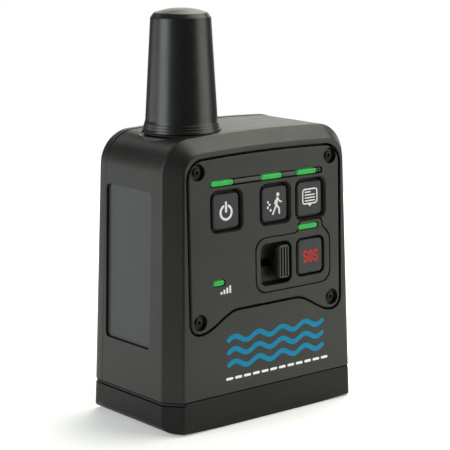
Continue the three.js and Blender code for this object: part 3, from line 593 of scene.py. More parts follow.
def board_laminate():
    """Green solder mask over copper tracks."""
    shader = Shader("board_laminate", 0.35)
    tracks = shader.node("ShaderNodeTexBrick")
    shader.link(shader.space, tracks.inputs["Vector"])
    tracks.inputs["Scale"].default_value = 300
    greens = {"Color1": (0.01, 0.09, 0.03), "Color2": (0.012, 0.11, 0.035), "Mortar": (0.03, 0.2, 0.07)}
    for socket, green in greens.items():
        tracks.inputs[socket].default_value = (*green, 1)
    shader.colour(tracks.outputs["Color"])
    shader.bump(tracks.outputs["Fac"], 0.03, 0.5)
    return shader.material


def speckled(name, colour, roughness, size):
    """Fired ceramic or printed wrap: a fine speckle and a slow shade."""
    shader = Shader(name, roughness)
    grains = shader.noise(size, 6)
    shader.mottle(grains, colour, 0.8, 1.15, 0.15)
    shader.bump(grains, 0.01, 0.3)
    return shader.material


HOUSING = moulded("housing_plastic", (0.0135, 0.014, 0.0115), 0.42, 0.25, 0.33)
CAP = moulded("cap_plastic", (0.008, 0.0083, 0.007), 0.42, 0.25, 0.18)
BEZEL = moulded("bezel_plastic", (0.018, 0.019, 0.0155), 0.46, 0.3, 0.33)
SEAL = moulded("seal_rubber", (0.012, 0.012, 0.012), 0.7, 0.2, 0.3)
KEYTOP = moulded("keytop_rubber", (0.024, 0.028, 0.031), 0.5, 0.35, 0.33, 0.06, 0.16)
RADOME = moulded("radome_plastic", (0.008, 0.0083, 0.0075), 0.34, 0.15, 0.45)
LABEL = moulded("label_film", (0.028, 0.032, 0.0305), 0.34, 0.12, 0.33, variation=0.05)
TRIM = moulded("trim_plastic", (0.034, 0.035, 0.032), 0.42, 0.2, 0.45)
INNER = moulded("inner_plastic", (0.008, 0.008, 0.0085), 0.5, 0.2, 0.3)
COAX = moulded("coax_jacket", (0.02, 0.02, 0.02), 0.6, 0.2)
LENS = lens_plastic("lens_green", (0.0, 0.33, 0.045), 0.3)
# The rim's copy is lighter and glows more than the lens: a painted highlight where the bevelled rim
# catches light.
LENS_RIM_PAINTED_HIGHLIGHT = lens_plastic("lens_rim_painted_highlight", (0.03, 0.46, 0.07), 0.45)
WHITE_INK = ink("white_ink", (0.93, 0.94, 0.94))
CYAN_INK = ink("cyan_ink", (0.0, 0.235, 0.42))
RED_INK = ink("red_ink", (0.66, 0.018, 0.022))
BLACK_STEEL = metal("black_steel", (0.028, 0.028, 0.026), 0.42)
BRIGHT_STEEL = metal("bright_steel", (0.55, 0.56, 0.58), 0.3)
SHIELD = metal("shield_can", (0.5, 0.51, 0.52), 0.4, (0.06, 1, 1))
BRASS = metal("brass", (0.62, 0.44, 0.16), 0.32)
COPPER = metal("copper", (0.68, 0.3, 0.14), 0.35)
BOARD = board_laminate()
CERAMIC = speckled("ceramic", (0.62, 0.57, 0.47), 0.55, 0.4)
CELL_WRAP = speckled("cell_wrap", (0.05, 0.09, 0.22), 0.35, 3)

# ---- Body shells -----------------------------------------------------
CHAMFER_SOFT = 0.7  # the chamfer melts into the front face over this length
CHAMFER_CRISP = 0.45
CHAMFER_ROWS = (
    (-CHAMFER_ACROSS - 3, -HALF_DEPTH, 0),
    (-CHAMFER_ACROSS, -HALF_DEPTH, CHAMFER_SOFT),
    (0, CHAMFER_DEEP - HALF_DEPTH, CHAMFER_CRISP),
)
BACK_ROWS = ((0, HALF_DEPTH, BACK_ROUND), (-BACK_ROUND - 2.5, HALF_DEPTH, 0))
SEAM_ROUND = 0.2
FOOT_SOFT = 0.6


def hollow(y_back, y_front, z_low):
    """The cavity inside a shell, down to its floor."""
    cavity = leaning_plate("cavity", [(-WALL, y_front), (-WALL, y_back)])
    return cut(cavity, slab("floor", -FAR, z_low))


def side_outline(side, grow, radius):
    """The side film's outline, or its recess's, on the left (-1) or right (1) face."""
    return rect_outline(side * PAD_CENTRE, PAD_Z, PAD_WIDTH + grow, PAD_HEIGHT + grow, radius)


def side_recess(side):
    return plate("recess", side_outline(side, 0, 1.6), hole_profile(0.3, PAD_DEPTH), side_frame(side))


def soften_seam(piece):
    """Rounds the outer edge above the seam, round the whole shell."""

    def near_seam(p):
        return abs(p.z - HOUSING_FOOT) < 0.01 and (abs(p.x) > 34 or p.y < -15)

    soften(piece, SEAM_ROUND, near_seam)


def main_housing():
    rows = profile(*CHAMFER_ROWS, (0, BACK_SPLIT, 0.12), (-1, BACK_SPLIT, 0))
    shell = leaning_plate("main_housing_shell", rows)
    cut(shell, slab("foot", -FAR, HOUSING_FOOT))
    cut(shell, hollow(BACK_SPLIT + 5, FRONT_WALL - HALF_DEPTH, FLOOR_TOP))
    join(shell, turned("boss", [(BOSS_RADIUS, BOSS_FOOT), (BOSS_RADIUS, SEAT_FLOOR)], ANTENNA_AXIS))
    middle, height = (WINDOW_LOW + WINDOW_HIGH) / 2, WINDOW_HIGH - WINDOW_LOW
    window = rect_outline(0, middle, WINDOW_WIDTH, height, 3)
    bay_x, bay_y = TRAY_HALF_WIDTH + TRAY_GAP, TRAY_HALF_DEPTH + TRAY_GAP
    bay_low = (BAY_X - bay_x, BAY_Y - bay_y, 5)
    bay_high = (BAY_X + bay_x, BAY_Y + bay_y, FLOOR_TOP + 1)
    cut(
        shell,
        plate("pocket", bezel_outline, hole_profile(0.35, LEDGE)),
        plate("window", window, [(0, 0), (0, FRONT_WALL + 1.5)]),
        turned("seat", [(SEAT_RADIUS, SEAT_FLOOR), (SEAT_RADIUS, ABOVE)], ANTENNA_AXIS),
        turned("neck_hole", [(NECK_RADIUS + 0.3, 90), (NECK_RADIUS + 0.3, ABOVE)], ANTENNA_AXIS),
        box("tray_hole", bay_low, bay_high),
        turned("lock_hole", [(5.3, 5), (5.3, 21)], LOCK_AXIS),
        side_recess(-1),
        side_recess(1),
    )
    soften_seam(shell)
    return finish(shell, HOUSING, "housing_plastic", "housing", "main_housing")


def back_cover():
    rows = profile((-1, BACK_SPLIT + 0.06, 0), (0, BACK_SPLIT + 0.06, 0.2), *BACK_ROWS)
    cover = leaning_plate("back_cover_shell", rows, (BODY_TOP + BACK_PROUD) / BODY_TOP)
    cut(cover, slab("foot", -FAR, HOUSING_FOOT))
    soften_seam(cover)
    label_bed = plate("bed", rect_outline(0, 52, 52, 56, 4), hole_profile(0.3, 0.6), BACK)
    cut(cover, hollow(HALF_DEPTH - WALL, 0, FLOOR_TOP), label_bed)
    for x, z in COVER_SCREWS.values():
        counterbore = circle_outline(-x, z, 2.7)
        cut(cover, plate("hole", counterbore, hole_profile(0.25, COVER_SCREW_DEPTH), BACK))
    return finish(cover, HOUSING, "housing_plastic", "housing", "back_cover")


def whole_form(name, grow=0):
    """The whole outer form, chamfered in front, rounded behind and standing on its foot."""
    rows = profile(*CHAMFER_ROWS, *BACK_ROWS)
    form = leaning_plate(name, [(inset + grow, y) for inset, y in rows])
    reach = HALF_DEPTH + 10
    foot = leaning_plate("foot_form", [(grow, -reach), (grow, reach)], drop=0, foot_radius=FOOT_RADIUS)
    return combine(form, [foot], "INTERSECT")


def base_cap():
    front = (-TONGUE_HALF_WIDTH, -FAR, CAP_TOP - 1)
    back = (TONGUE_HALF_WIDTH, TONGUE_BACK, BAND[1])
    envelope = join(slab("low_part", -FAR, CAP_TOP), box("tongue", front, back))
    cap = combine(whole_form("base_cap_shell"), [envelope], "INTERSECT")
    pocket = rect_outline(0, POCKET_Z, 2 * (FOOT_HALF_WIDTH - CAP_WALL), 2 * (POCKET_Z - CAP_FLOOR), 4)
    rim = LOCK_RECESS + 1.5
    recess = profile((rim, SKIM, 0), (LOCK_RECESS, SKIM, 0.4), (LOCK_RECESS, LOCK_ROOF, 0))
    cut(
        cap,
        plate("pocket", pocket, [(0, CHAMFER_DEEP - HALF_DEPTH), (0, HALF_DEPTH - CAP_WALL)], WORLD),
        turned("recess", [(rim, -1), *recess], LOCK_AXIS),
        turned("shank_hole", [(3.3, 2), (3.3, CAP_TOP + 2)], LOCK_AXIS),
    )
    soften(cap, FOOT_SOFT, lambda p: p.z < 1.5 and abs(p.y) > 16)
    return finish(cap, CAP, "housing_plastic", "cap", "base_cap")


def base_gasket():
    gasket = combine(whole_form("base_gasket_band", -0.4), [slab("band", *BAND)], "INTERSECT")
    front = CHAMFER_DEEP - HALF_DEPTH + 1
    side, back = TONGUE_HALF_WIDTH + 0.3, TONGUE_BACK + 0.3
    cut(
        gasket,
        box("inside", (-36, front, 0), (36, HALF_DEPTH - 5, 20)),
        box("tongue", (-side, -FAR, 0), (side, back, 20)),
    )
    return finish(gasket, SEAL, "seal_rubber", "housing", "base_gasket")


def side_pad(side, name):
    back = PAD_DEPTH + SKIM
    rows = plate_profile(0.12, back - PAD_THICK, back)
    pad = plate(name + "_film", side_outline(side, -0.1, 1.5), rows, side_frame(side))
    return finish(pad, LABEL, "label_film", "housing", name)


# ---- Keypad front ----------------------------------------------------
def key_hole(key, dish, rim=0.25):
    """A key's opening: its wall slopes from `dish` beyond the gap at the face to the gap behind."""
    mouth = KEY_GAP + 0.1 + dish
    wall = ((KEY_GAP, 1.9, 0), (KEY_GAP, BEZEL_THICK + 1, 0))
    rows = profile((3, SKIM, 0), (mouth, SKIM, rim), *wall, steps=4)
    return plate("key_hole", key_outline(key), [(mouth + rim, PROUD), *rows[1:]])


def keypad_bezel():
    rows = plate_profile(0.75, 0, BEZEL_THICK, -BEZEL_GAP)
    panel = plate("keypad_bezel_panel", bezel_outline, rows)
    holes = [key_hole(key, 0.75) for key in ("power", "track", "message")]
    for x, z in BEZEL_SCREWS.values():
        holes.append(plate("counterbore", circle_outline(x, z, 2.8), hole_profile(0.25, 1.6)))
        holes.append(plate("screw_hole", circle_outline(x, z, 1.45), [(0, 1), (0, 5)]))
    cut(
        panel,
        *holes,
        plate("channel", CHANNEL, hole_profile(0.2, BEZEL_THICK + 1)),
        plate("insert_hole", insert_outline, hole_profile(0.2, BEZEL_THICK + 1, 0.32)),
        plate("signal_hole", lens_outline("signal"), hole_profile(0.2, BEZEL_THICK + 1, 0.3)),
    )
    return finish(panel, BEZEL, "bezel_plastic", "housing", "keypad_bezel")


def sos_insert():
    panel = plate("sos_insert_panel", insert_outline, plate_profile(0.3, 0, BEZEL_THICK))
    cup = plate("cup", WELL, [(1, BEZEL_THICK - 0.5), (1, WELL_DEPTH + 1)])
    join(panel, cup)
    slot = rect_outline(WELL_X, WELL_Z, 9.4, 3.2, 1.2)
    well = profile((2, SKIM, 0), (0.1, SKIM, 0.4), (0, WELL_DEPTH, 0.9), (-2, WELL_DEPTH, 0))
    cut(
        panel,
        plate("well", WELL, [(0.5, PROUD), *well[1:]]),
        plate("slot", slot, [(0, WELL_DEPTH - 1), (0, WELL_DEPTH + 3)]),
        key_hole("sos", 0.25, 0.3),
        plate("lens_hole", lens_outline("sos"), hole_profile(0.2, BEZEL_THICK + 1, 0.3)),
    )
    return finish(panel, BEZEL, "bezel_plastic", "housing", "sos_insert")


def key_button(key):
    sunk = KEYS[key][2]
    flange_back = KEY_BACK + KEY_FLANGE_THICK
    rows = profile(
        (-3.5, sunk, 0), (-0.45, sunk, 0.16), (0, sunk + 0.45, 0.14), (0, KEY_BACK, 0),
        (KEY_FLANGE, KEY_BACK, 0), (KEY_FLANGE, flange_back, 0), (-1, flange_back, 0), steps=4,
    )
    button = plate(key + "_button_cap", key_outline(key), rows)
    return finish(button, KEYTOP, "keytop_rubber", key + "_key", key + "_button")


def led_lens(lens):
    rows = profile((-0.8, 0.12, 0), (-0.3, 0.12, 0.1), (0, 0.4, 0.1), (0, BEZEL_THICK, 0), steps=3)
    pipe = plate(lens + "_led_lens_pipe", lens_outline(lens), rows)
    pipe.data.materials.append(LENS)
    # The second material is the rim's painted highlight.
    pipe.data.materials.append(LENS_RIM_PAINTED_HIGHLIGHT)
    mark_painted_rim_highlight(pipe)
    return finish(pipe, LENS, "lens_green", "housing", lens + "_led_lens")


def mark_painted_rim_highlight(pipe):
    """A lens's flat front keeps the first material. The rest, its rim, takes the second: a lighter, more
    strongly glowing copy that is a painted highlight of the rim catching light.
    """
    for polygon in pipe.data.polygons:
        centre = FRONT.inverted() @ (polygon.center / MM)
        front = polygon.normal.y < -0.98 and centre.y < 0.2
        polygon.material_index = 0 if front else 1


def led_bar():
    bar = plate("led_bar_strip", CHANNEL, plate_profile(0.6, 0.3, BEZEL_THICK + 1.1, -0.3))
    for lens in ("power", "track", "message"):
        cut(bar, plate("lens_hole", lens_outline(lens), [(0.25, 0), (0.25, 5)]))
    stud = circle_outline(CHANNEL_RIGHT - 1.2, CHANNEL_Z, 0.5, 20)
    join(bar, plate("stud", stud, plate_profile(0.2, 0.05, 1)))
    return finish(bar, TRIM, "inner_plastic", "housing", "led_bar")


def lock_slider():
    """A ribbed grip, undercut and narrow behind, whose stem reaches the switch."""
    foot = WELL_DEPTH - 0.3
    outline = rect_outline(KNOB_X, KNOB_Z, KNOB_WIDTH, KNOB_HEIGHT, 1.1)
    face = ((-1.5, -0.3, 0), (-0.3, -0.3, 0.25), (0, 0.5, 0.3))
    undercut = ((0, 1.5, 0.2), (-1.6, 1.9, 0.2), (-1.6, foot, 0))
    grip = plate("lock_slider_grip", outline, profile(*face, *undercut))
    groove_rows = profile((0.4, -1, 0), (0.12, -0.3, 0.1), (-0.05, 0.4, 0.1), (-0.2, 0.4, 0))
    grooves = []
    for i in range(KNOB_RIBS - 1):
        x = KNOB_X + (i - (KNOB_RIBS - 2) / 2) * RIB_PITCH
        groove = rect_outline(x, KNOB_Z, 0.5, KNOB_HEIGHT - 1.4, 0.25)
        grooves.append(plate("groove", groove, groove_rows))
    cut(grip, *grooves)
    stem = rect_outline(KNOB_X, WELL_Z, 1.8, 2.4, 0.3)
    join(grip, plate("stem", stem, [(0, foot - 0.2), (0, WELL_DEPTH + 1.7)]))
    return finish(grip, TRIM, "inner_plastic", "lock_slide", "lock_slider")


def lobed_socket(rows, place, steps=48):
    """A lobed driver socket, from (grow, depth) rows."""
    bm = bmesh.new()
    loops = []
    for grow, y in rows:
        loop = []
        for i in range(steps):
            angle = 2 * math.pi * i / steps
            reach = (SOCKET_RADIUS + grow) * (1 + SOCKET_SWING * math.cos(SOCKET_LOBES * angle))
            loop.append((reach * math.cos(angle), y, reach * math.sin(angle)))
        loops.append(loop)
    skin(bm, loops)
    return to_object("socket", bm, place)


def socket_screw(name, place, top, seat, length):
    """A button-head screw along y, its washer sitting at `seat` and its shank running on behind."""
    washer, shank = seat - 0.35, SHANK_RADIUS - SCREW_RADIUS
    head = profile(
        (-SCREW_RADIUS, top, 0), (-0.45, top, 0.4), (0, top + 0.35, 0.25), (0, washer, 0),
        (WASHER_EDGE, washer, 0.12), (WASHER_EDGE, seat, 0), (shank, seat, 0), (shank, seat + length, 0),
        steps=4,
    )
    rows = [(max(grow, 0.02 - SCREW_RADIUS), y) for grow, y in head]
    screw = plate(name + "_head", circle_outline(0, 0, SCREW_RADIUS, 36), rows, place)
    cut(screw, lobed_socket([(0.12, top - 0.5), (0.12, top), (0, top + 0.12), (0, top + 0.6)], place))
    return finish(screw, BLACK_STEEL, "black_steel", "housing", name)


# ---- Printed marks ---------------------------------------------------
INK_THICK = 0.03
INK_SINK = 0.01  # how far a mark reaches into the surface under it
INK_STAGGER = 0.002  # joined strokes lie at slightly different heights


def ribbon(points, width, y, closed=False):
    """A flat printed stroke along points, with round ends."""
    half = width / 2
    count = len(points)
    left, right = [], []
    for i, (x, z) in enumerate(points):
        before = points[(i - 1) % count] if closed or i else points[i]
        after = points[(i + 1) % count] if closed or i < count - 1 else points[i]
        along = Vector((after[0] - before[0], after[1] - before[1])).normalized()
        left.append((x - along.y * half, z + along.x * half))
        right.append((x + along.y * half, z - along.x * half))
    bm = bmesh.new()
    front, back = y - INK_THICK, y + INK_SINK
    if closed:
        rings = ((left, front), (right, front), (right, back), (left, back))
    else:
        ends = end_cap(points[-1], points[-2], half), end_cap(points[0], points[1], half)
        outline = right + ends[0] + left[::-1] + ends[1]
        rings = ((outline, front), (outline, back))
    skin(bm, [[(x, depth, z) for x, z in ring] for ring, depth in rings], closed)
    return to_object("ribbon", bm, FRONT)


def end_cap(end, inner, half, steps=6):
    """The points of a half circle round a stroke's end."""
    out = math.atan2(end[1] - inner[1], end[0] - inner[0])
    angles = [out - math.pi / 2 + math.pi * i / steps for i in range(1, steps)]
    return [(end[0] + half * math.cos(a), end[1] + half * math.sin(a)) for a in angles]


def arc(x, z, radius_x, radius_z, start, end, steps=20):
    """Points round an ellipse, from one angle to another in degrees."""
    points = []
    for i in range(steps + 1):
        angle = math.radians(start + (end - start) * i / steps)
        points.append((x + radius_x * math.cos(angle), z + radius_z * math.sin(angle)))
    return points


def printed_shape(outline, y):
    return plate("shape", outline, [(0, y - INK_THICK), (0, y + INK_SINK)])


def disc(x, z, radius, y):
    return printed_shape(circle_outline(x, z, radius, 20), y)


def printed(key, parts):
    """Joins printed strokes into one thin mark on a key."""
    mark = parts[0]
    for i, part in enumerate(parts):
        part.data.transform(Matrix.Translation((0, -INK_STAGGER * i * MM, 0)))
    join(mark, *parts[1:])
    mark.name = key + "_mark"
    return finish(mark, WHITE_INK, "keytop_rubber", key + "_key")


def mark_centre(key, right, up):
    """Where a key's mark is centred, from how far it stands off the key's middle, and its depth."""
    x, z, sunk = KEYS[key]
    return x + right, z + up, sunk


def power_mark():
    """A broken ring with a bar in its gap."""
    x, z, y = mark_centre("power", 0.1, -0.45)
    parts = [
        ribbon(arc(x, z, 2.35, 2.35, 118, 422, 40), 0.85, y),
        ribbon([(x, z + 0.3), (x, z + 1.6), (x, z + 3.3)], 0.85, y),
    ]
    return printed("power", parts)


WALKER_HEAD = (1.55, 3.0, 0.68)  # right of the key's centre, above it, radius
WALKER_STROKES = (  # width, then points to the right of the key's centre and above it
    (0.95, (1.3, 1.7), (1.05, 0.6), (0.8, -0.5)),
    (0.68, (0.8, -0.5), (0.1, -1.9), (-0.75, -3.45)),
    (0.68, (1.0, -0.6), (2.0, -1.8), (2.1, -3.4)),
    (0.5, (1.6, 1.7), (2.2, 0.7), (3.1, 0.4)),
    (0.5, (1.2, 1.6), (0.4, 0.9), (0.1, 0.0)),
)
TRAIL = ((-2.9, 0.75, 0.42), (-2.2, -0.15, 0.42), (-2.95, -1.1, 0.45), (-1.75, -2.1, 0.45))


def track_mark():
    """A plain walking figure with a dotted trail behind it."""
    x, z, y = mark_centre("track", 0, 0)
    dots = [disc(x + right, z + up, radius, y) for right, up, radius in (WALKER_HEAD, *TRAIL)]
    strokes = [ribbon([(x + a, z + b) for a, b in points], width, y) for width, *points in WALKER_STROKES]
    return printed("track", [dots[0], *strokes, *dots[1:]])


def message_mark():
    """A speech bubble with lines of writing."""
    x, z, y = mark_centre("message", 0.2, 0.75)
    parts = [ribbon(rounded_rect(x, z, 6.5, 5.0, 0.9, 5), 0.5, y, closed=True)]
    for i, right in enumerate((0.2, 2.2, 2.2, 2.2)):
        height = z + 1.5 - i
        parts.append(ribbon([(x - 2.2, height), (x, height), (x + right, height)], 0.42, y))
    tail = [(x - 1.0, z - 2.6), (x + 1.0, z - 2.6), (x - 0.1, z - 3.6)]
    parts.append(printed_shape(lambda grow: tail, y))
    return printed("message", parts)


def letter_s(x, z, half_width, quarter, stroke, y):
    upper = arc(x, z + quarter, half_width, quarter, 20, 270, 18)
    lower = arc(x, z - quarter, half_width, quarter, 90, -160, 18)
    return ribbon(upper + lower[1:], stroke, y)


def sos_mark():
    """The international distress letters."""
    x, z, y = mark_centre("sos", 0.2, 0)
    half_width, quarter, stroke, pitch = 0.72, 0.95, 0.62, 2.35
    ring = arc(x, z, half_width, 2 * quarter, 0, 360, 36)[:-1]
    letters = [
        letter_s(x - pitch, z, half_width, quarter, stroke, y),
        ribbon(ring, stroke, y, closed=True),
        letter_s(x + pitch, z, half_width, quarter, stroke, y),
    ]
    return finish(merge("sos_mark", letters), RED_INK, "keytop_rubber", "sos_key")


def merge(name, parts):
    """Makes one piece of separate meshes that don't touch."""
    piece = parts[0]
    bm = bmesh.new()
    bm.from_mesh(piece.data)
    for other in parts[1:]:
        bm.from_mesh(other.data)
        bpy.data.objects.remove(other)
    bm.to_mesh(piece.data)
    bm.free()
    piece.name = name
    return piece


def wave(left, right, z, height, length, steps=60):
    """Points along a row of waves."""
    points = []
    for i in range(steps + 1):
        x = left + (right - left) * i / steps
        points.append((x, z + height * math.sin(2 * math.pi * (x - left) / length)))
    return points


WAVE_LEFT, WAVE_RIGHT, WAVE_TOP, WAVE_ROWS, WAVE_STEP = -17.5, 24.5, 29.5, 3, 4.3
DASH_LEFT, DASH_Z, DASHES, DASH_PITCH = -18.5, 16.2, 12, 3.9
BAR_LEFT, BAR_Z, BARS, BAR_PITCH = -20.2, 46, 4, 1.25


def wave_mark():
    waves = []
    for i in range(WAVE_ROWS):
        points = wave(WAVE_LEFT, WAVE_RIGHT, WAVE_TOP - WAVE_STEP * i, 1.0, 10.5)
        waves.append(ribbon(points, 1.7, 0))
    finish(merge("wave_mark", waves), CYAN_INK, "housing_plastic", "housing")


def dashed_rule():
    dashes = []
    for i in range(DASHES):
        x = DASH_LEFT + i * DASH_PITCH
        dashes.append(ribbon([(x, DASH_Z), (x + 1.1, DASH_Z), (x + 2.2, DASH_Z)], 0.9, 0))
    finish(merge("dashed_rule", dashes), WHITE_INK, "housing_plastic", "housing")


def signal_mark():
    """Four bars, each taller than the one before."""
    bars = []
    for i in range(BARS):
        bar = rect_outline(BAR_LEFT + i * BAR_PITCH, BAR_Z + 0.28 * i, 0.75, 0.9 + 0.56 * i, 0.1)
        bars.append(printed_shape(bar, 0))
    finish(merge("signal_mark", bars), WHITE_INK, "bezel_plastic", "housing")


# ---- Antenna ---------------------------------------------------------
FLARE_STEPS = ((12.85, 99.2), (12.62, 100.1), (12.4, 101.0))  # radius, height
BORE = (  # radius, height
    (0, 137.2), (6.2, 136.6), (8.2, 135.2), (10.1, 102.4), (9.6, 100.6), (7.6, 99.6), (7.6, NECK_FOOT),
)


def antenna_cover():
    """A tapered stub with a domed tip and a stepped flare at its foot."""
    steps_up = []
    for radius, height in FLARE_STEPS:
        steps_up += [(radius + 0.12, height - 0.1, 0.05), (radius, height, 0.05)]
    outer = profile(
        (NECK_RADIUS, NECK_FOOT, 0), (NECK_RADIUS, 98.3, 0), (13.25, 98.3, 0.12), *steps_up,
        (12.13, 101.9, 0.4), (10.15, 135.9, 0.25), (8.95, 137.5, 0.25), (4.5, 138.75, 2.2), (0, 139, 0),
        steps=4,
    )
    cover = turned("antenna_cover_shell", [*outer, *BORE], ANTENNA_AXIS, 96, closed=True)
    return finish(cover, RADOME, "radome_plastic", "housing", "antenna_cover")


def antenna_seal():
    rows = profile((9.3, 97.4, 0), (12.6, 97.4, 0.15), (12.6, 98, 0.15), (9.3, 98, 0), steps=3)
    seal = turned("antenna_seal_ring", rows, ANTENNA_AXIS, 64, closed=True)
    return finish(seal, SEAL, "seal_rubber", "housing", "antenna_seal")


# ---- Base lock -------------------------------------------------------
def pin_hole():
    return turned("pin_hole", [(PIN_RADIUS, -PIN_REACH), (PIN_RADIUS, PIN_REACH)], pin_frame(LOCK_X), 24)


def lock_knob():
    """The quarter-turn disc under the base, its shank, and lugs for the ring's pin."""
    disc = ((0.5, 2.6, 0), (9.3, 2.6, 0.35), (9.3, 4.7, 0.2), (3, 4.7, 0))
    shank = ((3, 18.5, 0.3), (0.5, 18.5, 0))
    knob = turned("lock_knob_disc", profile(*disc, *shank, steps=4), LOCK_AXIS)
    for x in (LOCK_X - 6.7, LOCK_X + 6.7):
        join(knob, box("lug", (x - 0.9, PIN_Y - 1.1, 0.3), (x + 0.9, PIN_Y + 1.1, 2.8)))
    soften(knob, 0.2, lambda p: p.z < 2.55)
    cut(knob, pin_hole())
    return finish(knob, INNER, "inner_plastic", "knob", "lock_knob")


def ring_wire(points, steps=16):
    """Round wire along points (x, y) in the plane of the pin."""
    bm = bmesh.new()
    rows = []
    for i, (x, y) in enumerate(points):
        before, after = points[max(i - 1, 0)], points[min(i + 1, len(points) - 1)]
        along = Vector((after[0] - before[0], after[1] - before[1])).normalized()
        row = []
        for across, up in circle(0, 0, RING_WIRE, steps):
            row.append((LOCK_X + x - along.y * across, PIN_Y + y + along.x * across, PIN_Z + up))
        rows.append(row)
    skin(bm, rows)
    return to_object("lock_ring_loop", bm)


def lock_ring():
    """The fold-flat ring: a half-round loop of wire with a knuckle at each end."""
    side, straight, reach = RING_HALF_WIDTH - RING_WIRE, -4, -10.4
    path = Path(-side, 0.4).line(-side, straight)
    path.curve((-side, reach), (side, reach), (side, straight), 28).line(side, 0.4)
    ring = ring_wire(path.points)
    knuckle = profile(
        (0.2, -0.8, 0), (KNUCKLE_RADIUS, -0.8, 0.15), (KNUCKLE_RADIUS, 0.8, 0.15), (0.2, 0.8, 0),
    )
    offset = RING_HALF_WIDTH - 0.8
    for x in (LOCK_X - offset, LOCK_X + offset):
        join(ring, turned("knuckle", knuckle, pin_frame(x), 28))
    cut(ring, pin_hole())
    return finish(ring, BLACK_STEEL, "black_steel", "ring", "lock_ring")


# ---- Carried-over CAD nodes ------------------------------------------
CARRIED = (
    (SEAL, ("bezel_gasket", "keypad_membrane")),
    (BOARD, ("main_board",)),
    (SHIELD, ("satellite_modem",)),
    (CERAMIC, ("gps_patch_antenna", *(lens + "_led" for lens in LENSES))),
    (BRASS, ("antenna_nut", "lock_insert")),
    (COPPER, ("antenna_helix",)),
    (COAX, ("antenna_coax",)),
    (INNER, ("slide_switch", "antenna_former", "battery_tray")),
    (CELL_WRAP, ("battery_cell_1", "battery_cell_2")),
    (BRIGHT_STEEL, ("tray_contact_1", "tray_contact_2", "cell_spring_1", "cell_spring_2")),
    (BRIGHT_STEEL, ("cap_contact_plate", "ring_pin", *(key + "_dome" for key in KEYS))),
)


def dress_carried():
    for material, names in CARRIED:
        for name in names:
            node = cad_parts[name]
            node.data.materials.clear()
            node.data.materials.append(material)


# ---- Stage -----------------------------------------------------------
CAMERA_ANGLES = (39.209, 11.182, -0.126)  # azimuth, elevation and roll, in degrees
CAMERA_TARGET, CAMERA_DISTANCE, CAMERA_LENS = (-1.49, -0.77, 63.5), 582.2, 134.71


def make_camera():
    azimuth, elevation, roll = (math.radians(angle) for angle in CAMERA_ANGLES)
    away = Vector((
        -math.sin(azimuth) * math.cos(elevation),
        -math.cos(azimuth) * math.cos(elevation),
        math.sin(elevation),
    ))
    data = bpy.data.cameras.new("camera")
    data.lens = CAMERA_LENS
    data.sensor_width = 36
    data.clip_start = 0.02
    camera = bpy.data.objects.new("camera", data)
    camera.location = Vector(CAMERA_TARGET) * MM + away * CAMERA_DISTANCE * MM
    turn = (-away).to_track_quat("-Z", "Y").to_matrix().to_4x4() @ Matrix.Rotation(roll, 4, "Z")
    camera.rotation_euler = turn.to_euler()
    bpy.context.scene.collection.objects.link(camera)
    bpy.context.scene.camera = camera


SOFTBOXES = {  # direction, distance and size in metres, watts, colour
    "left_box": ((-1, 0.18, 0.15), 0.9, (0.5, 0.9), 7, (0.92, 0.97, 1)),
    "front_box": ((0.71, -0.7, 0.2), 1.0, (0.8, 0.9), 6.3, (1, 1, 0.93)),
    "top_box": ((0.55, 0.1, 1), 0.9, (1.0, 0.8), 10, (1, 1, 0.92)),
    "low_left_box": ((-0.62, 0.76, -0.12), 0.9, (0.6, 0.4), 1.3, (0.95, 1, 1)),
    "corner_strip": ((-0.08, 0.76, 0.63), 1.0, (0.3, 0.04), 0.4, (0.95, 0.99, 1)),
}
LIGHT_TARGET = (0, 0, 0.06)


def softbox(name, direction, distance, size, power, colour):
    """An area light facing the middle of the body."""
    data = bpy.data.lights.new(name, "AREA")
    data.shape = "RECTANGLE"
    data.size, data.size_y = size
    data.energy = power
    data.color = colour
    light = bpy.data.objects.new(name, data)
    away = Vector(direction).normalized()
    light.location = Vector(LIGHT_TARGET) + away * distance
    light.rotation_euler = away.to_track_quat("Z", "Y").to_euler()
    bpy.context.scene.collection.objects.link(light)


WORLD_FILL = 0.1  # light from every side
REAR_WALL = 1.6  # the bright wall behind the object, as the object sees it
REAR_DIRECTION = (0.7, 0.7, 0.15)
WALL_EDGE = (0.86, 0.96)  # the wall fades in over these cosines from its direction
TABLE_EDGE = (-0.15, 0)  # and over these heights of a direction
WALL_TINT = (0.98, 1, 0.91, 1)
WHITE = (1, 1, 1, 1)


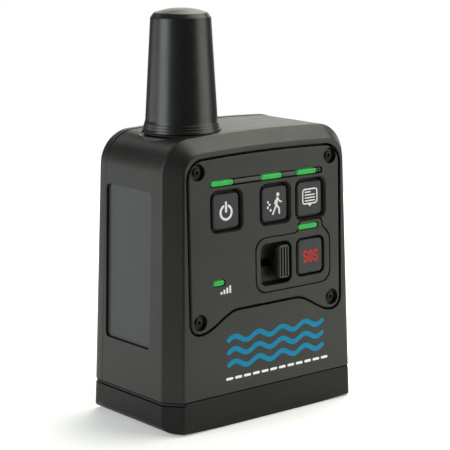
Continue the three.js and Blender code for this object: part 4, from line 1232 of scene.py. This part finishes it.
def make_world():
    """A white backdrop for the camera, and a dim room with one bright, low wall for the object."""
    world = bpy.data.worlds.new("studio")
    world.use_nodes = True
    tree = world.node_tree

    def node(kind, inputs, output, **settings):
        """Adds a node, its inputs set or linked, and gives one of its outputs."""
        made = tree.nodes.new(kind)
        for key, value in settings.items():
            setattr(made, key, value)
        for name, value in inputs.items():
            if isinstance(value, bpy.types.NodeSocket):
                tree.links.new(value, made.inputs[name])
            else:
                made.inputs[name].default_value = value
        return made.outputs[output]

    def fade(source, edge, top):
        ends = {"Value": source, "From Min": edge[0], "From Max": edge[1], "To Min": 0, "To Max": top}
        return node("ShaderNodeMapRange", ends, "Result", interpolation_type="SMOOTHSTEP")

    direction = node("ShaderNodeTexCoord", {}, "Generated")
    sides = {0: direction, 1: REAR_DIRECTION}
    facing = node("ShaderNodeVectorMath", sides, "Value", operation="DOT_PRODUCT")
    height = node("ShaderNodeSeparateXYZ", {0: direction}, "Z")
    lit = {0: fade(facing, WALL_EDGE, REAR_WALL), 1: fade(height, TABLE_EDGE, 1)}
    wall = node("ShaderNodeMath", lit, "Value", operation="MULTIPLY")
    room = node("ShaderNodeMath", {0: wall, 1: WORLD_FILL}, "Value", operation="MAXIMUM")
    seen = node("ShaderNodeLightPath", {}, "Is Camera Ray")
    level = node("ShaderNodeMix", {"Factor": seen, "A": room, "B": 1.0}, "Result")
    tint = node("ShaderNodeMixRGB", {"Fac": seen, "Color1": WALL_TINT, "Color2": WHITE}, "Color")
    background = tree.nodes["Background"]
    tree.links.new(tint, background.inputs["Color"])
    tree.links.new(level, background.inputs["Strength"])
    bpy.context.scene.world = world
    bpy.context.scene.view_settings.view_transform = "Standard"


FLOOR = (-420, 320, -120, 480)  # left, right, front and rear edges of the table


def make_floor():
    left, right, front, rear = FLOOR
    floor = box("floor", (left, front, -3), (right, rear, -0.02))
    shader = Shader("floor_paper", 0.9, specular=0.1)
    fibres = shader.noise(3, 4)
    paper = shader.ramp(fibres, ((0.3, (0.93, 0.93, 0.925)), (0.7, (0.95, 0.95, 0.945))))
    shader.colour(paper)
    shader.link(paper, shader.surface.inputs["Emission Color"])
    shader.surface.inputs["Emission Strength"].default_value = 0.3
    floor.data.materials.append(shader.material)


make_camera()
for name, settings in SOFTBOXES.items():
    softbox(name, *settings)
make_world()
make_floor()
main_housing()
back_cover()
base_cap()
base_gasket()
side_pad(-1, "left_label_pad")
side_pad(1, "right_label_pad")
keypad_bezel()
sos_insert()
led_bar()
lock_slider()
for key in KEYS:
    key_button(key)
for lens in LENSES:
    led_lens(lens)
for place, (x, z) in BEZEL_SCREWS.items():
    socket_screw("bezel_screw_" + place, FRONT @ Matrix.Translation((x, 0, z)), 0.75, 1.58, 5.2)
for place, (x, z) in COVER_SCREWS.items():
    seat = COVER_SCREW_DEPTH - 0.1
    socket_screw("back_screw_" + place, BACK @ Matrix.Translation((-x, 0, z)), 0.9, seat, 8)
power_mark()
track_mark()
message_mark()
sos_mark()
wave_mark()
dashed_rule()
signal_mark()
antenna_cover()
antenna_seal()
lock_knob()
lock_ring()
dress_carried()
